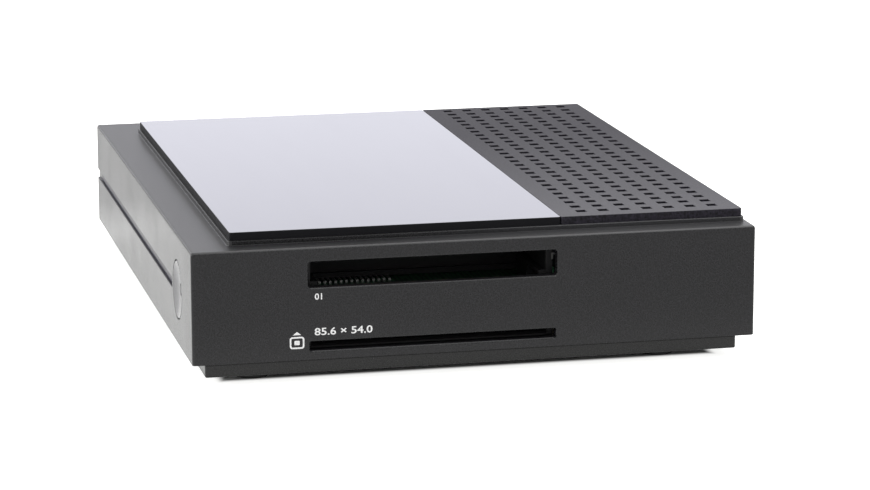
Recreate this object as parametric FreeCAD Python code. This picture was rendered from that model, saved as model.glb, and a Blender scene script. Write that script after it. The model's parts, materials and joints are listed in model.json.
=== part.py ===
import FreeCAD, Part
import math
import os

# Compact satellite television receiver, built from its separate pieces. Millimetres.
# +Z is up, the front panel faces -Y and the two card slots open on +X. The origin is the centre of the
# whole footprint, on the surface that the feet stand on. A place "from the front" runs back from the
# front face, and a height "above the seam" runs up from the bottom edge of the cover.

V = FreeCAD.Vector
X_AXIS = V(1, 0, 0)
Y_AXIS = V(0, 1, 0)
Z_AXIS = V(0, 0, 1)
OVER = 1.0                   # how far a cutting tool runs past the face that it opens

# ---- Driving dimensions: cover -----------------------------------------------------------------------
body_w = 164.0               # side face to side face
body_d = 130.0               # front face to rear edge of the cover
body_h = 25.6                # bottom edge of the cover to its shoulder
corner_r = 0.8               # upright edges
shoulder_r = 0.7             # edge between the sides and the top
wall = 2.2                   # front and side walls
roof = 2.0
plinth_h = 1.1               # raised step under the top panels
plinth_ledge = 0.5           # how far the step stands out past the panels
plate_h = 1.85               # thickness of the top panels
plate_front = 9.6            # front face to the top panels
plate_rear = 1.5             # rear edge to the top panels
plate_left = 14.4            # left side face to the top panels
plate_right = 6.0            # right side face to the top panels
plate_corner_r = 0.5
plate_split = 85.6           # from the front, to the joint between the two top panels
plate_gap = 0.1              # width of that joint

# ---- Base and feet -----------------------------------------------------------------------------------
foot_h = 2.0                 # floor to the underside of the base
foot_r = 4.2
foot_edge_r = 0.5
foot_seat = 0.6              # depth of the pocket that a foot is glued into
foot_fit = 0.1
foot_side = 12.0             # side face to the centre of a foot
foot_front = 15.2            # front face to the centre of a front foot
foot_rear = 19.8             # rear edge to the centre of a rear foot
base_h = 3.7                 # underside of the base to the seam
base_gap = 1.1               # seam between the base and the inside of the cover
base_floor = 1.8
base_wall = 1.8
base_lip = 1.5               # how far the base rises inside the cover
base_corner_r = 0.5
base_edge = 0.2              # chamfer of the lower rim
base_vent_w = 2.2
base_vent_l = 17.0
base_vent_pitch = 6.0
base_vent_columns = 17
base_vent_rows = (46.0, 68.0)  # from the front

# ---- Rear panel --------------------------------------------------------------------------------------
panel_t = 1.2
panel_fit = 0.15
rib_t = 1.5                  # ribs on both sides of the panel's edge
rib_h = 2.0
cutout_fit = 0.3             # round every socket that passes through the panel

# ---- Vent grid ---------------------------------------------------------------------------------------
vent_pitch = 5.18
vent_hole = 2.3
vent_first = 91.75           # from the front, to the first row of holes
vent_first_side = 5.3        # right end of the panel to the first column of holes
vent_edge_side = 2.4         # least margin from the last column to the left end of the panel
vent_edge_rear = 4.0         # least margin from the last row of holes to the rear of the panel
vent_well_margin = 1.6       # air opening in the cover, past the middles of the outermost holes
vent_rib_w = 3.0             # ribs across the air opening
vent_rib_count = 3
panel_peg_r = 1.0            # locating pegs under the top panels
panel_peg_l = 1.4
panel_peg_fit = 0.1
panel_peg_end = 2.75         # front or rear of a panel to its pegs
panel_peg_side = 2.75        # left or right end of a panel to its pegs

# ---- Front: groove, window and button ----------------------------------------------------------------
groove_h = 2.3
groove_z = 12.65             # above the seam, to the middle of the groove
groove_depth = 0.5
groove_land = 1.5            # end of the groove to the rim of the button
window_fit = 0.05
window_left_side = 6.0       # left side face to the opening for the window
window_right_land = 3.0      # that opening to the end of the groove
window_flange = 1.2          # flange behind the wall, past the opening
window_flange_t = 0.8
window_guide_gap = 0.1       # flange to the guide of the button
button_side = 21.2           # right side face to the middle of the button
button_z = 12.75             # above the seam
button_r = 6.6
button_gap = 0.25
button_dish = 0.9
button_rim = 0.35            # flat rim round the dish
button_flange_r = 7.9
button_flange_t = 1.0
button_stop = 0.1            # flange to the back of the wall at rest
button_edge = 0.15           # chamfer round the face
button_stem_r = 1.6
button_stem_l = 1.2
button_guide_fit = 0.3
button_guide_wall = 1.5
button_guide_l = 3.4
button_travel = 0.5
plunger_gap = 0.05

# ---- Side slots --------------------------------------------------------------------------------------
slot_y = 54.7                # from the front, to the middle of both slots
ci_slot_w = 57.0
ci_slot_h = 5.8
ci_slot_z = 19.35            # above the seam, to the middle
ci_slot_r = 0.6
card_slot_w = 56.5
card_slot_h = 2.0
card_slot_z = 3.1            # above the seam, to the middle
card_slot_r = 0.4
slot_bevel = 0.3

# ---- Boards ------------------------------------------------------------------------------------------
board_t = 1.6
board_clear = 0.5            # board edge to the walls of the base
LEFT, RIGHT, FRONT, REAR = "left", "right", "front", "rear"
# A place is measured from the left or right side face and from the front or rear of the cover.
board_holes = (
    (LEFT, 12.0, FRONT, 40.0),
    (LEFT, 58.0, FRONT, 13.0),
    (RIGHT, 66.0, FRONT, 19.5),
    (LEFT, 62.0, REAR, 30.0),
    (RIGHT, 28.0, REAR, 30.0),
)
boss_r = 3.0
screw_r = 1.3                # core of the self-tapping screws
screw_fit = 0.05             # screw in the plastic that it cuts into
screw_clear = 0.1            # screw in the base that it passes through
screw_board_clear = 0.2      # screw in the board that it passes through
screw_head_r = 2.6
screw_head_h = 1.3
screw_head_side = 0.75       # straight part of the head's height
screw_head_top_r = 1.95
screw_recess = 1.5           # depth of the recess in the base that takes a head
screw_l = 8.0
board_screw_l = 3.0
board_pilot_l = 3.2          # top of the board to the bottom of the screw's pilot hole
posts = (
    (LEFT, 8.8, FRONT, 22.4),
    (LEFT, 8.8, REAR, 34.0),
    (RIGHT, 8.8, FRONT, 22.4),
    (RIGHT, 8.8, REAR, 27.5),
)
post_r = 3.0
post_fit = 0.6               # board notch round a post
ci_board_side = 14.0         # right side face to the board
ci_board_w = 76.0
ci_board_front = 19.0
ci_board_rear = 90.5
ci_board_z = 9.7             # above the seam, to its underside
spacer_r = 2.75
spacer_inset_x = 5.5
spacer_inset_y = 3.4
stack_w = 5.0
stack_l = 40.0
stack_inset = 14.0           # left edge of the raised board to the middle of the connector
stack_split = 4.6            # height of the lower half of the board-to-board connector
stack_socket_rim = 0.5       # upper half past the lower one

# ---- Card reader and CI connector --------------------------------------------------------------------
card_w = 54.0
card_fit = 0.25              # each side of the card
reader_floor = 0.9
reader_gap = 1.0             # height of the card path
reader_roof = 1.4
reader_wall = 1.45
reader_depth = 50.0
reader_stop = 4.0            # solid end behind the card
reader_clear = 2.0           # mouth of the reader to the inside of the cover
reader_flare = 0.5           # widening of the mouth, up and down
reader_flare_l = 1.0
reader_window_w = 27.0
reader_window_inner = 8.0    # inner end of the reader to the window in its roof
reader_window_mouth = 12.0   # mouth to that window
contact_l = 2.4
contact_w = 1.2
contact_t = 0.25
contact_pitch = 2.54
contact_rows = 2
contacts_per_row = 4
contact_row_gap = 7.6
contact_side = 33.0          # right side face to the middle of the contacts
module_w = 54.0              # plug-in module
module_t = 5.0
module_fit = 0.15
header_side = 31.0           # right side face to the face that carries the pins
header_t = 6.0
header_relief_end = 3.0      # solid ends of the block, each side of its rear relief
header_sill = 1.1            # bottom of the block to that relief
header_skirt_l = 1.2         # skirt over the roots of the solder leads
header_skirt_h = 1.5         # board to the top of the skirt
pin_count = 34
pin_rows = 2
pin_pitch = 1.27
pin_w = 0.44
pin_l = 5.5
lead_l = 4.5
lead_w = 0.55
lead_t = 0.35
lead_front_count = 14        # leads in front of the block, the rest run out behind it
rail_wall = 1.6
rail_lip = 1.5               # how far a rail reaches over the module
rail_shelf = 1.0
rail_leg_gap = 1.0           # solder leads to the legs of the rails
rail_leg_inset = 2.0         # legs to the right edge of the raised board
rail_clear = 3.0             # end of the rails to the inside of the cover

# ---- Front board -------------------------------------------------------------------------------------
front_board_side = 8.0       # right side face to the board
front_board_w = 68.0
front_board_bottom = 1.0     # above the top of the main board
front_board_h = 17.0
tact_w = 6.0
tact_t = 3.5
plunger_r = 1.75
plunger_l = 2.2
plunger_proud = 0.9
plunger_fit = 0.1
plunger_room = 0.2           # plunger to the bottom of its bore when pressed
ir_inset = 8.0               # left edge of the front board to the receiver
ir_w = 6.0
ir_h = 7.0
ir_lens_r = 2.2
led_inset = 34.0             # left edge of the front board to the lamp
led_r = 1.5
led_collar = 0.4
led_collar_t = 1.2
window_air = 0.6             # window to the lens and the lamp
front_header_inset = 30.0    # left edge of the front board to the middle of its connector
front_header_w = 20.0
front_header_h = 6.0
front_header_t = 3.0
front_header_foot = 4.8

# ---- Chips and power parts on the main board ---------------------------------------------------------
soc_place = (LEFT, 37.0, FRONT, 56.0)
soc_w = 27.0
soc_t = 2.2
pad_w = 24.0
pad_t = 0.5
sink_w = 38.0
sink_base = 2.0
sink_h = 12.0
fin_count = 10
fin_t = 1.0
memory_places = ((LEFT, 63.0, FRONT, 46.0), (LEFT, 63.0, FRONT, 66.0))
memory_w = 9.0
memory_l = 13.0
memory_t = 1.1
flash_place = (LEFT, 52.5, FRONT, 87.0)
flash_w = 12.0
flash_l = 18.0
flash_t = 1.2
capacitor_places = (
    (RIGHT, 76.0, REAR, 32.0),
    (RIGHT, 68.0, REAR, 32.0),
    (RIGHT, 60.0, REAR, 32.0),
    (LEFT, 20.0, FRONT, 80.0),
    (LEFT, 22.0, FRONT, 20.0),
)
capacitor_r = 3.15
capacitor_h = 7.0
capacitor_edge = 0.4         # rolled upper edge
coil_places = ((RIGHT, 46.0, REAR, 29.0), (RIGHT, 35.0, REAR, 27.0), (LEFT, 36.0, FRONT, 81.0))
coil_w = 7.0
coil_h = 4.0
coil_corner_r = 1.2
crystal_place = (LEFT, 38.0, FRONT, 27.0)
crystal_w = 11.0
crystal_l = 4.6
crystal_h = 3.6
crystal_r = 2.25

# ---- Sockets on the rear, each measured from the nearer side face ------------------------------------
tuner_side = 7.0
tuner_w = 37.0
tuner_depth = 24.0
tuner_h = 16.0
tuner_skin = 0.8
aerial_input_side = 16.5
aerial_output_side = 34.5
aerial_z = 9.0               # above the board
aerial_r = 4.76              # 3/8 inch thread
aerial_root_r = 4.4          # foot of the thread
aerial_relief = 0.5          # nut to the start of the exposed thread
aerial_bore_r = 3.7
aerial_reach = 6.5           # past the rear edge of the cover
aerial_floor = 0.8
insulator_hole_r = 0.7
insulator_hole_floor = 2.0
insulator_set_back = 0.6
nut_across = 12.7
nut_t = 2.2
nut_fit = 0.1
jack_side = 49.0
jack_w = 7.0
jack_h = 6.0
jack_l = 12.0
jack_back = 1.0              # solid end behind the bore
jack_nose_r = 2.9
jack_bore_r = 1.8
socket_proud = 0.4           # socket faces past the outside of the panel
optical_side = 59.0
optical_w = 9.7
optical_h = 9.7
optical_l = 13.5
optical_hole = 6.2
optical_hole_r = 1.2
optical_hole_depth = 7.0
shell_skin = 0.5             # folded steel of the video and data sockets
shell_back = 2.0             # block that closes those sockets behind
shell_raise = 0.6            # above the board
tongue_set_back = 1.5        # end of a tongue to the face of its socket
hdmi_side = 73.5
hdmi_w = 15.0
hdmi_h = 5.6
hdmi_l = 11.5
hdmi_taper = 1.9             # cut off the lower corners
hdmi_taper_in = 1.6          # the same cut, inside the shell
hdmi_tongue_w = 10.4
hdmi_tongue_t = 1.0
hdmi_tongue_z = 2.58         # bottom of the shell to the underside of the tongue
ethernet_side = 56.5
ethernet_w = 16.0
ethernet_h = 13.4
ethernet_l = 18.5
ethernet_mouth_w = 11.8
ethernet_mouth_h = 8.4
ethernet_mouth_depth = 12.5
ethernet_mouth_z = 1.6
ethernet_key_w = 6.2
ethernet_key_h = 2.2
ethernet_contact_count = 8
ethernet_contact_pitch = 1.02
ethernet_contact_w = 0.4
ethernet_contact_drop = 2.6  # lower end of a contact below the roof of the mouth
ethernet_contact_set_back = 3.0
usb_side = 40.0
usb_w = 13.2
usb_h = 5.8
usb_l = 14.0
usb_foot_inset = 1.0
usb_tongue_w = 11.0
usb_tongue_t = 1.8
usb_tongue_drop = 0.7        # roof of the shell to the tongue
dc_side = 27.0
dc_w = 9.0
dc_h = 11.0
dc_l = 14.0
dc_bore_r = 3.15
dc_bore_depth = 9.5
dc_pin_r = 1.0
dc_pin_set_back = 1.0
switch_side = 14.0
switch_z = 11.4              # above the board, to the pivot
switch_flange_w = 10.6
switch_flange_h = 15.6
switch_flange_t = 1.4
switch_body_w = 8.6
switch_body_l = 10.0
switch_skin = 0.7
rocker_r = 5.9
rocker_fit = 0.3
rocker_valley = 2.3          # pivot to the middle of the rocker's face
rocker_slope = 11.0          # degrees, of each half of the face
rocker_back = 1.2
rocker_pivot = 0.8           # pivot behind the outside of the panel
rocker_pin_r = 1.0
rocker_pin_fit = 0.08
rocker_pin_end = 0.1         # end of a pivot pin to the side of the body
rocker_rest = 9.0            # degrees off the middle at rest
terminal_w = 4.8
terminal_t = 0.8
terminal_l = 5.0

# ---- Derived places ----------------------------------------------------------------------------------
front_y = -(body_d + aerial_reach) / 2
rear_y = front_y + body_d
side_x = body_w / 2
inner_x = side_x - wall
z_base = foot_h
z_floor = z_base + base_floor
z_seam = z_base + base_h
z_lip = z_seam + base_lip
z_shoulder = z_seam + body_h
z_ceiling = z_shoulder - roof
z_plinth = z_shoulder + plinth_h
z_attic = z_plinth - roof
z_top = z_plinth + plate_h
z_card = z_seam + card_slot_z
z_board_top = z_card - reader_gap / 2 - reader_floor
z_board = z_board_top - board_t
z_module = z_seam + ci_slot_z
z_ci_board = z_seam + ci_board_z
z_ci_top = z_ci_board + board_t
z_groove = z_seam + groove_z
z_button = z_seam + button_z
z_aerial = z_board_top + aerial_z
z_shell = z_board_top + shell_raise
base_x = inner_x - base_gap
base_front = front_y + wall + base_gap
base_rear = rear_y - wall - base_gap
panel_groove = panel_t + 2 * panel_fit
panel_out = base_rear - rib_t - panel_fit
panel_in = panel_out - panel_t
panel_frame_in = base_rear - 2 * rib_t - panel_groove
plate_x0 = plate_left - side_x
plate_x1 = side_x - plate_right
plate_y0 = front_y + plate_front
plate_y1 = rear_y - plate_rear
split_y = front_y + plate_split
slot_mid = front_y + slot_y
socket_face = panel_out + socket_proud
button_x = side_x - button_side
groove_end = button_x - button_r - groove_land
window_left = window_left_side - side_x
window_right = groove_end - window_right_land
button_stem_end = wall + button_stop + button_flange_t + button_stem_l
tact_front = front_y + button_stem_end + plunger_gap + plunger_proud
board_face = tact_front + tact_t
front_board_right = side_x - front_board_side
front_board_left = front_board_right - front_board_w
ci_board_right = side_x - ci_board_side
ci_board_left = ci_board_right - ci_board_w
stack_x = ci_board_left + stack_inset
header_front = side_x - header_side
module_path = module_w / 2 + module_fit
rail_outer = module_path + rail_wall
card_path = card_w / 2 + card_fit
tuner_left = tuner_side - side_x
aerial_tip = rear_y + aerial_reach
aerial_input_x = aerial_input_side - side_x
aerial_output_x = aerial_output_side - side_x
aerial_start = panel_in - panel_fit
jack_x = jack_side - side_x
optical_x = optical_side - side_x
hdmi_x = hdmi_side - side_x
ethernet_x = side_x - ethernet_side
usb_x = side_x - usb_side
dc_x = side_x - dc_side
switch_x = side_x - switch_side


def box(x0, x1, y0, y1, z0, z1):
    """Block between two corners."""
    return Part.makeBox(x1 - x0, y1 - y0, z1 - z0, V(x0, y0, z0))


def block_at(x, y, w, d, z0, z1):
    """Upright block centred on X and Y."""
    return box(x - w / 2, x + w / 2, y - d / 2, y + d / 2, z0, z1)


def rod(radius, start, axis, length):
    """Cylinder from a point along an axis."""
    return Part.makeCylinder(radius, length, start, axis)


def rounded_face(centre, u, v, w, h, r):
    """Rectangle w by h in the plane of u and v, with corner radius r."""
    corners = ((1, 1), (-1, 1), (-1, -1), (1, -1))
    starts = []
    edges = []
    for i, (su, sv) in enumerate(corners):
        turn_in = u * (su * (w / 2 - r)) + v * (sv * (h / 2 - r))
        if i % 2 == 0:
            first, last = u * (su * r), v * (sv * r)
        else:
            first, last = v * (sv * r), u * (su * r)
        diagonal = (u * su + v * sv) * (r / math.sqrt(2))
        p0 = centre + turn_in + first
        p1 = centre + turn_in + diagonal
        p2 = centre + turn_in + last
        edges.append(Part.Arc(p0, p1, p2).toShape())
        starts.append((p0, p2))
    for i in range(4):
        edges.append(Part.LineSegment(starts[i][1], starts[(i + 1) % 4][0]).toShape())
    ordered = []
    for i in range(4):
        ordered += [edges[i], edges[4 + i]]
    return Part.Face(Part.Wire(ordered))


def rounded_block(x0, x1, y0, y1, z0, z1, r):
    """Upright block with rounded upright edges."""
    centre = V((x0 + x1) / 2, (y0 + y1) / 2, z0)
    return rounded_face(centre, X_AXIS, Y_AXIS, x1 - x0, y1 - y0, r).extrude(V(0, 0, z1 - z0))


def side_slot(z_mid, w, h, r):
    """Slot through the right wall, bevelled on its outside."""
    face = rounded_face(V(inner_x - OVER, slot_mid, z_mid), Y_AXIS, Z_AXIS, w, h, r)
    slot = face.extrude(V(wall + 2 * OVER, 0, 0))
    inside = rounded_face(V(side_x - slot_bevel, slot_mid, z_mid), Y_AXIS, Z_AXIS, w, h, r)
    grow = 4 * slot_bevel
    outside = rounded_face(
        V(side_x + slot_bevel, slot_mid, z_mid), Y_AXIS, Z_AXIS, w + grow, h + grow, r + grow / 2
    )
    return slot.fuse(Part.makeLoft([inside.OuterWire, outside.OuterWire], True))


def polygon(points):
    """Flat face with straight edges through the points."""
    return Part.Face(Part.makePolygon(list(points) + [points[0]]))


def profile_along_x(points, x0, x1):
    """Closed outline of (y, z) points, drawn out along X."""
    return polygon([V(x0, y, z) for y, z in points]).extrude(V(x1 - x0, 0, 0))


def profile_along_y(points, y0, y1):
    """Closed outline of (x, z) points, drawn out along Y."""
    return polygon([V(x, y0, z) for x, z in points]).extrude(V(0, y1 - y0, 0))


def hexagon(centre, u, v, across, along):
    """Hexagonal block: its section lies in the plane of u and v, and it runs along a vector."""
    reach = across / 2 / math.cos(math.pi / 6)
    turns = [math.radians(60 * i) for i in range(6)]
    corners = [centre + u * (reach * math.cos(a)) + v * (reach * math.sin(a)) for a in turns]
    return polygon(corners).extrude(along)


def revolved(points, centre, axis, across):
    """Solid of revolution: points are (radius, distance along the axis)."""
    return polygon([centre + across * r + axis * a for r, a in points]).revolve(centre, axis, 360)


def place(side, dx, end, dy):
    """X and Y of a place that is measured from a side face and from the front or rear."""
    x = side_x - dx if side == RIGHT else dx - side_x
    y = rear_y - dy if end == REAR else front_y + dy
    return x, y


def post_places():
    """Centres of the four posts that join the cover to the base."""
    return [place(*post) for post in posts]


def foot_places():
    """Names and centres of the four feet."""
    ends = ((FRONT, foot_front), (REAR, foot_rear))
    return [
        (f"foot_{end}_{side}", *place(side, foot_side, end, dy)) for side in (LEFT, RIGHT) for end, dy in ends
    ]


def board_hole_places():
    """Centres of the screws that hold the main board."""
    return [place(*hole) for hole in board_holes]


def peg_places(y0, y1):
    """Corners of a top panel, where its locating pegs stand."""
    xs = (plate_x0 + panel_peg_side, plate_x1 - panel_peg_side)
    return [(x, y) for x in xs for y in (y0 + panel_peg_end, y1 - panel_peg_end)]


def vent_centres():
    """Centres of the vent holes: as many as the panel takes."""
    near = plate_x1 - vent_first_side
    columns = int((near - plate_x0 - vent_edge_side - vent_hole / 2) / vent_pitch) + 1
    xs = [near - i * vent_pitch for i in reversed(range(columns))]
    first = front_y + vent_first
    rows = int((plate_y1 - vent_edge_rear - vent_hole / 2 - first) / vent_pitch) + 1
    return xs, [first + j * vent_pitch for j in range(rows)]


# ---- Housing -----------------------------------------------------------------------------------------
def rear_frame():
    """Groove on the walls and ceiling of the cover that holds the edge of the rear panel."""
    z0 = z_lip + panel_fit
    window_x = inner_x - rib_h
    block = box(-inner_x, inner_x, panel_frame_in, base_rear, z0, z_ceiling + roof / 2)
    window = box(-window_x, window_x, panel_frame_in - OVER, base_rear + OVER, z0 - OVER, z_ceiling - rib_h)
    groove = box(-inner_x, inner_x, panel_in - panel_fit, panel_out + panel_fit, z0 - OVER, z_ceiling)
    return block.cut(window).cut(groove)


def air_opening():
    """Opening in the cover under the vent panel, crossed by ribs."""
    xs, ys = vent_centres()
    x0 = xs[0] - vent_well_margin
    x1 = xs[-1] + vent_well_margin
    y0 = ys[0] - vent_well_margin
    y1 = min(ys[-1] + vent_well_margin, panel_frame_in)
    opening = box(x0, x1, y0, y1, z_ceiling - OVER, z_plinth + OVER)
    half = vent_rib_w / 2
    for i in range(vent_rib_count):
        x = x0 + (x1 - x0) * (i + 1) / (vent_rib_count + 1)
        opening = opening.cut(box(x - half, x + half, y0, y1, z_ceiling - OVER, z_plinth + OVER))
    return opening


def top_cover():
    """Moulded shell: front, sides and roof, open below and behind."""
    outer = rounded_block(-side_x, side_x, front_y, rear_y, z_seam, z_shoulder, corner_r)
    rim = [e for e in outer.Edges if e.BoundBox.ZMin > z_shoulder - 0.01]
    outer = outer.makeFillet(shoulder_r, rim)
    px0 = plate_x0 - plinth_ledge
    px1 = plate_x1 + plinth_ledge
    py0 = plate_y0 - plinth_ledge
    py1 = plate_y1 + plinth_ledge
    plinth_r = plate_corner_r + plinth_ledge
    outer = outer.fuse(rounded_block(px0, px1, py0, py1, z_shoulder - roof / 2, z_plinth, plinth_r))
    room = box(-inner_x, inner_x, front_y + wall, rear_y + OVER, z_seam - OVER, z_ceiling)
    attic = box(px0 + wall, px1 - wall, py0 + wall, panel_frame_in - wall, z_ceiling - OVER, z_attic)
    cover = outer.cut(room).cut(attic)
    post_top = (z_attic + z_shoulder) / 2
    for x, y in post_places():
        cover = cover.fuse(rod(post_r, V(x, y, z_board), Z_AXIS, post_top - z_board))
    guide_r = button_flange_r + button_guide_fit
    guide_start = V(button_x, front_y + wall / 2, z_button)
    cover = cover.fuse(rod(guide_r + button_guide_wall, guide_start, Y_AXIS, button_guide_l))
    cover = cover.fuse(rear_frame())
    tools = [air_opening()]
    for x, y in post_places():
        tools.append(rod(screw_r + screw_fit, V(x, y, z_board - OVER), Z_AXIS, screw_l + OVER))
    centre = V(button_x, front_y, z_button)
    tools.append(rod(button_r + button_gap, centre - Y_AXIS * OVER, Y_AXIS, wall + 2 * OVER))
    tools.append(rod(guide_r, centre + Y_AXIS * wall, Y_AXIS, button_guide_l + OVER))
    z0 = z_groove - groove_h / 2
    z1 = z_groove + groove_h / 2
    tools.append(box(-side_x - OVER, groove_end, front_y - OVER, front_y + groove_depth, z0, z1))
    tools.append(box(window_left, window_right, front_y, front_y + wall + OVER, z0, z1))
    tools.append(side_slot(z_module, ci_slot_w, ci_slot_h, ci_slot_r))
    tools.append(side_slot(z_card, card_slot_w, card_slot_h, card_slot_r))
    hole_l = panel_peg_l + panel_peg_fit
    for x, y in peg_places(plate_y0, split_y - plate_gap / 2) + peg_places(split_y + plate_gap / 2, plate_y1):
        tools.append(rod(panel_peg_r + panel_peg_fit, V(x, y, z_plinth - hole_l), Z_AXIS, hole_l + OVER))
    return cover.cut(tools).removeSplitter()


def base_tray():
    """Shallow tray that closes the cover from below and carries the main board."""
    outer = rounded_block(-base_x, base_x, base_front, base_rear, z_base, z_lip, base_corner_r)
    rim = [e for e in outer.Edges if e.BoundBox.ZMax < z_base + 0.01]
    outer = outer.makeChamfer(base_edge, rim)
    room_x = base_x - base_wall
    room = box(-room_x, room_x, base_front + base_wall, panel_frame_in, z_floor, z_lip + OVER)
    tray = outer.cut(room)
    z_root = z_floor - base_floor / 2
    for x, y in board_hole_places():
        tray = tray.fuse(rod(boss_r, V(x, y, z_root), Z_AXIS, z_board - z_root))
    for x, y in post_places():
        tray = tray.fuse(rod(post_r, V(x, y, z_root), Z_AXIS, z_board - z_root))
    groove_x = inner_x - panel_fit
    tools = [
        box(-groove_x, groove_x, panel_in - panel_fit, panel_out + panel_fit, z_lip - rib_h, z_lip + OVER)
    ]
    for x, y in post_places():
        below = V(x, y, z_base - OVER)
        tools.append(rod(screw_r + screw_clear, below, Z_AXIS, z_board - z_base + 2 * OVER))
        tools.append(rod(screw_head_r + screw_clear, below, Z_AXIS, OVER + screw_recess))
    for x, y in board_hole_places():
        pilot = V(x, y, z_board_top - board_pilot_l)
        tools.append(rod(screw_r + screw_fit, pilot, Z_AXIS, board_pilot_l))
    for _name, x, y in foot_places():
        tools.append(rod(foot_r + foot_fit, V(x, y, z_base - OVER), Z_AXIS, OVER + foot_seat))
    for row in base_vent_rows:
        for i in range(base_vent_columns):
            x = (i - (base_vent_columns - 1) / 2) * base_vent_pitch
            slot = block_at(x, front_y + row, base_vent_w, base_vent_l, z_base - OVER, z_floor + OVER)
            tools.append(slot)
    return tray.cut(tools).removeSplitter()


def top_panel(y0, y1):
    """Flat panel on the plinth, with locating pegs underneath."""
    panel = rounded_block(plate_x0, plate_x1, y0, y1, z_plinth, z_top, plate_corner_r)
    for x, y in peg_places(y0, y1):
        foot_of_peg = V(x, y, z_plinth - panel_peg_l)
        panel = panel.fuse(rod(panel_peg_r, foot_of_peg, Z_AXIS, panel_peg_l + plate_h / 2))
    return panel.removeSplitter()


def gloss_top_panel():
    """Polished panel in front."""
    return top_panel(plate_y0, split_y - plate_gap / 2)


def vent_panel():
    """Panel behind it, with the square grid of vent holes."""
    panel = top_panel(split_y + plate_gap / 2, plate_y1)
    xs, ys = vent_centres()
    holes = [block_at(x, y, vent_hole, vent_hole, z_plinth - OVER, z_top + OVER) for x in xs for y in ys]
    return panel.cut(Part.makeCompound(holes))


def rear_panel():
    """Flat steel panel with an opening for each socket."""
    edge = inner_x - panel_fit
    panel = box(-edge, edge, panel_in, panel_out, z_lip - rib_h + panel_fit, z_ceiling - panel_fit)
    y0 = panel_in - OVER
    y1 = panel_out + OVER
    tools = [rod(jack_nose_r + cutout_fit, V(jack_x, y0, z_board_top + jack_h / 2), Y_AXIS, y1 - y0)]
    for x in (aerial_input_x, aerial_output_x):
        tools.append(rod(aerial_r + cutout_fit, V(x, y0, z_aerial), Y_AXIS, y1 - y0))
    switch_h = switch_body_h()
    sockets = (
        (optical_x, optical_w, z_board_top, optical_h),
        (hdmi_x, hdmi_w, z_shell, hdmi_h),
        (ethernet_x, ethernet_w, z_board_top, ethernet_h),
        (usb_x, usb_w, z_shell, usb_h),
        (dc_x, dc_w, z_board_top, dc_h),
        (switch_x, switch_body_w, z_board_top + switch_z - switch_h / 2, switch_h),
    )
    for x, w, z, h in sockets:
        reach = w / 2 + cutout_fit
        tools.append(box(x - reach, x + reach, y0, y1, z - cutout_fit, z + h + cutout_fit))
    return panel.cut(tools)


def foot(x, y):
    """Round rubber foot with a rolled lower edge."""
    profile = [
        (0, 0),
        (foot_r - foot_edge_r, 0),
        (foot_r, foot_edge_r),
        (foot_r, foot_h + foot_seat),
        (0, foot_h + foot_seat),
    ]
    return revolved(profile, V(x, y, 0), Z_AXIS, X_AXIS)


def screw(x, y, z_head, length, head_up):
    """Pan-head screw: z_head is where the head seats, and the shank runs away from the head."""
    way = 1 if head_up else -1
    profile = [
        (0, -way * length),
        (screw_r, -way * length),
        (screw_r, 0),
        (screw_head_r, 0),
        (screw_head_r, way * screw_head_side),
        (screw_head_top_r, way * screw_head_h),
        (0, way * screw_head_h),
    ]
    return revolved(profile, V(x, y, z_head), Z_AXIS, X_AXIS)


def housing_screws():
    """Four screws from below, through the base into the posts of the cover."""
    seat = z_base + screw_recess
    reach = screw_l - screw_recess
    return Part.makeCompound([screw(x, y, seat, reach, False) for x, y in post_places()])


def board_screws():
    """Screws that hold the main board on the bosses of the base."""
    pieces = [screw(x, y, z_board_top, board_screw_l, True) for x, y in board_hole_places()]
    return Part.makeCompound(pieces)


# ---- Front -------------------------------------------------------------------------------------------
def ir_window():
    """Dark strip that forms the floor of the front groove, flanged behind the wall."""
    half = groove_h / 2 - window_fit
    y_back = front_y + wall
    x0 = window_left + window_fit
    x1 = window_right - window_fit
    strip = box(x0, x1, front_y + groove_depth, y_back, z_groove - half, z_groove + half)
    half += window_flange
    guide_r = button_flange_r + button_guide_fit + button_guide_wall
    x0 = window_left - window_flange
    x1 = min(window_right + window_flange, button_x - guide_r - window_guide_gap)
    flange = box(x0, x1, y_back, y_back + window_flange_t, z_groove - half, z_groove + half)
    return strip.fuse(flange).removeSplitter()


def power_button():
    """Round push button with a dished face, a retaining flange and a stem."""
    dish_r = button_r - button_rim
    ball_r = (dish_r**2 + button_dish**2) / (2 * button_dish)
    front = V(button_x, front_y, z_button)
    flange_y = wall + button_stop
    profile = [
        (0, 0),
        (button_r - button_edge, 0),
        (button_r, button_edge),
        (button_r, flange_y),
        (button_flange_r, flange_y),
        (button_flange_r, flange_y + button_flange_t),
        (button_stem_r, flange_y + button_flange_t),
        (button_stem_r, button_stem_end),
        (0, button_stem_end),
    ]
    button = revolved(profile, front, Y_AXIS, X_AXIS)
    ball = Part.makeSphere(ball_r, front - Y_AXIS * (ball_r - button_dish))
    return button.cut(ball)


def tact_switch():
    """Small square switch on the front board, open at the front for its plunger."""
    half = tact_w / 2
    body = box(button_x - half, button_x + half, tact_front, board_face, z_button - half, z_button + half)
    bore_depth = plunger_l - plunger_proud + button_travel + plunger_room
    centre = V(button_x, tact_front - OVER, z_button)
    return body.cut(rod(plunger_r + plunger_fit, centre, Y_AXIS, bore_depth + OVER))


def tact_plunger():
    """Plunger of the small switch, just behind the stem of the button."""
    start = V(button_x, tact_front - plunger_proud, z_button)
    return rod(plunger_r, start, Y_AXIS, plunger_l)


def front_board():
    """Upright board behind the front wall."""
    z0 = z_board_top + front_board_bottom
    return box(front_board_left, front_board_right, board_face, board_face + board_t, z0, z0 + front_board_h)


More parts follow.
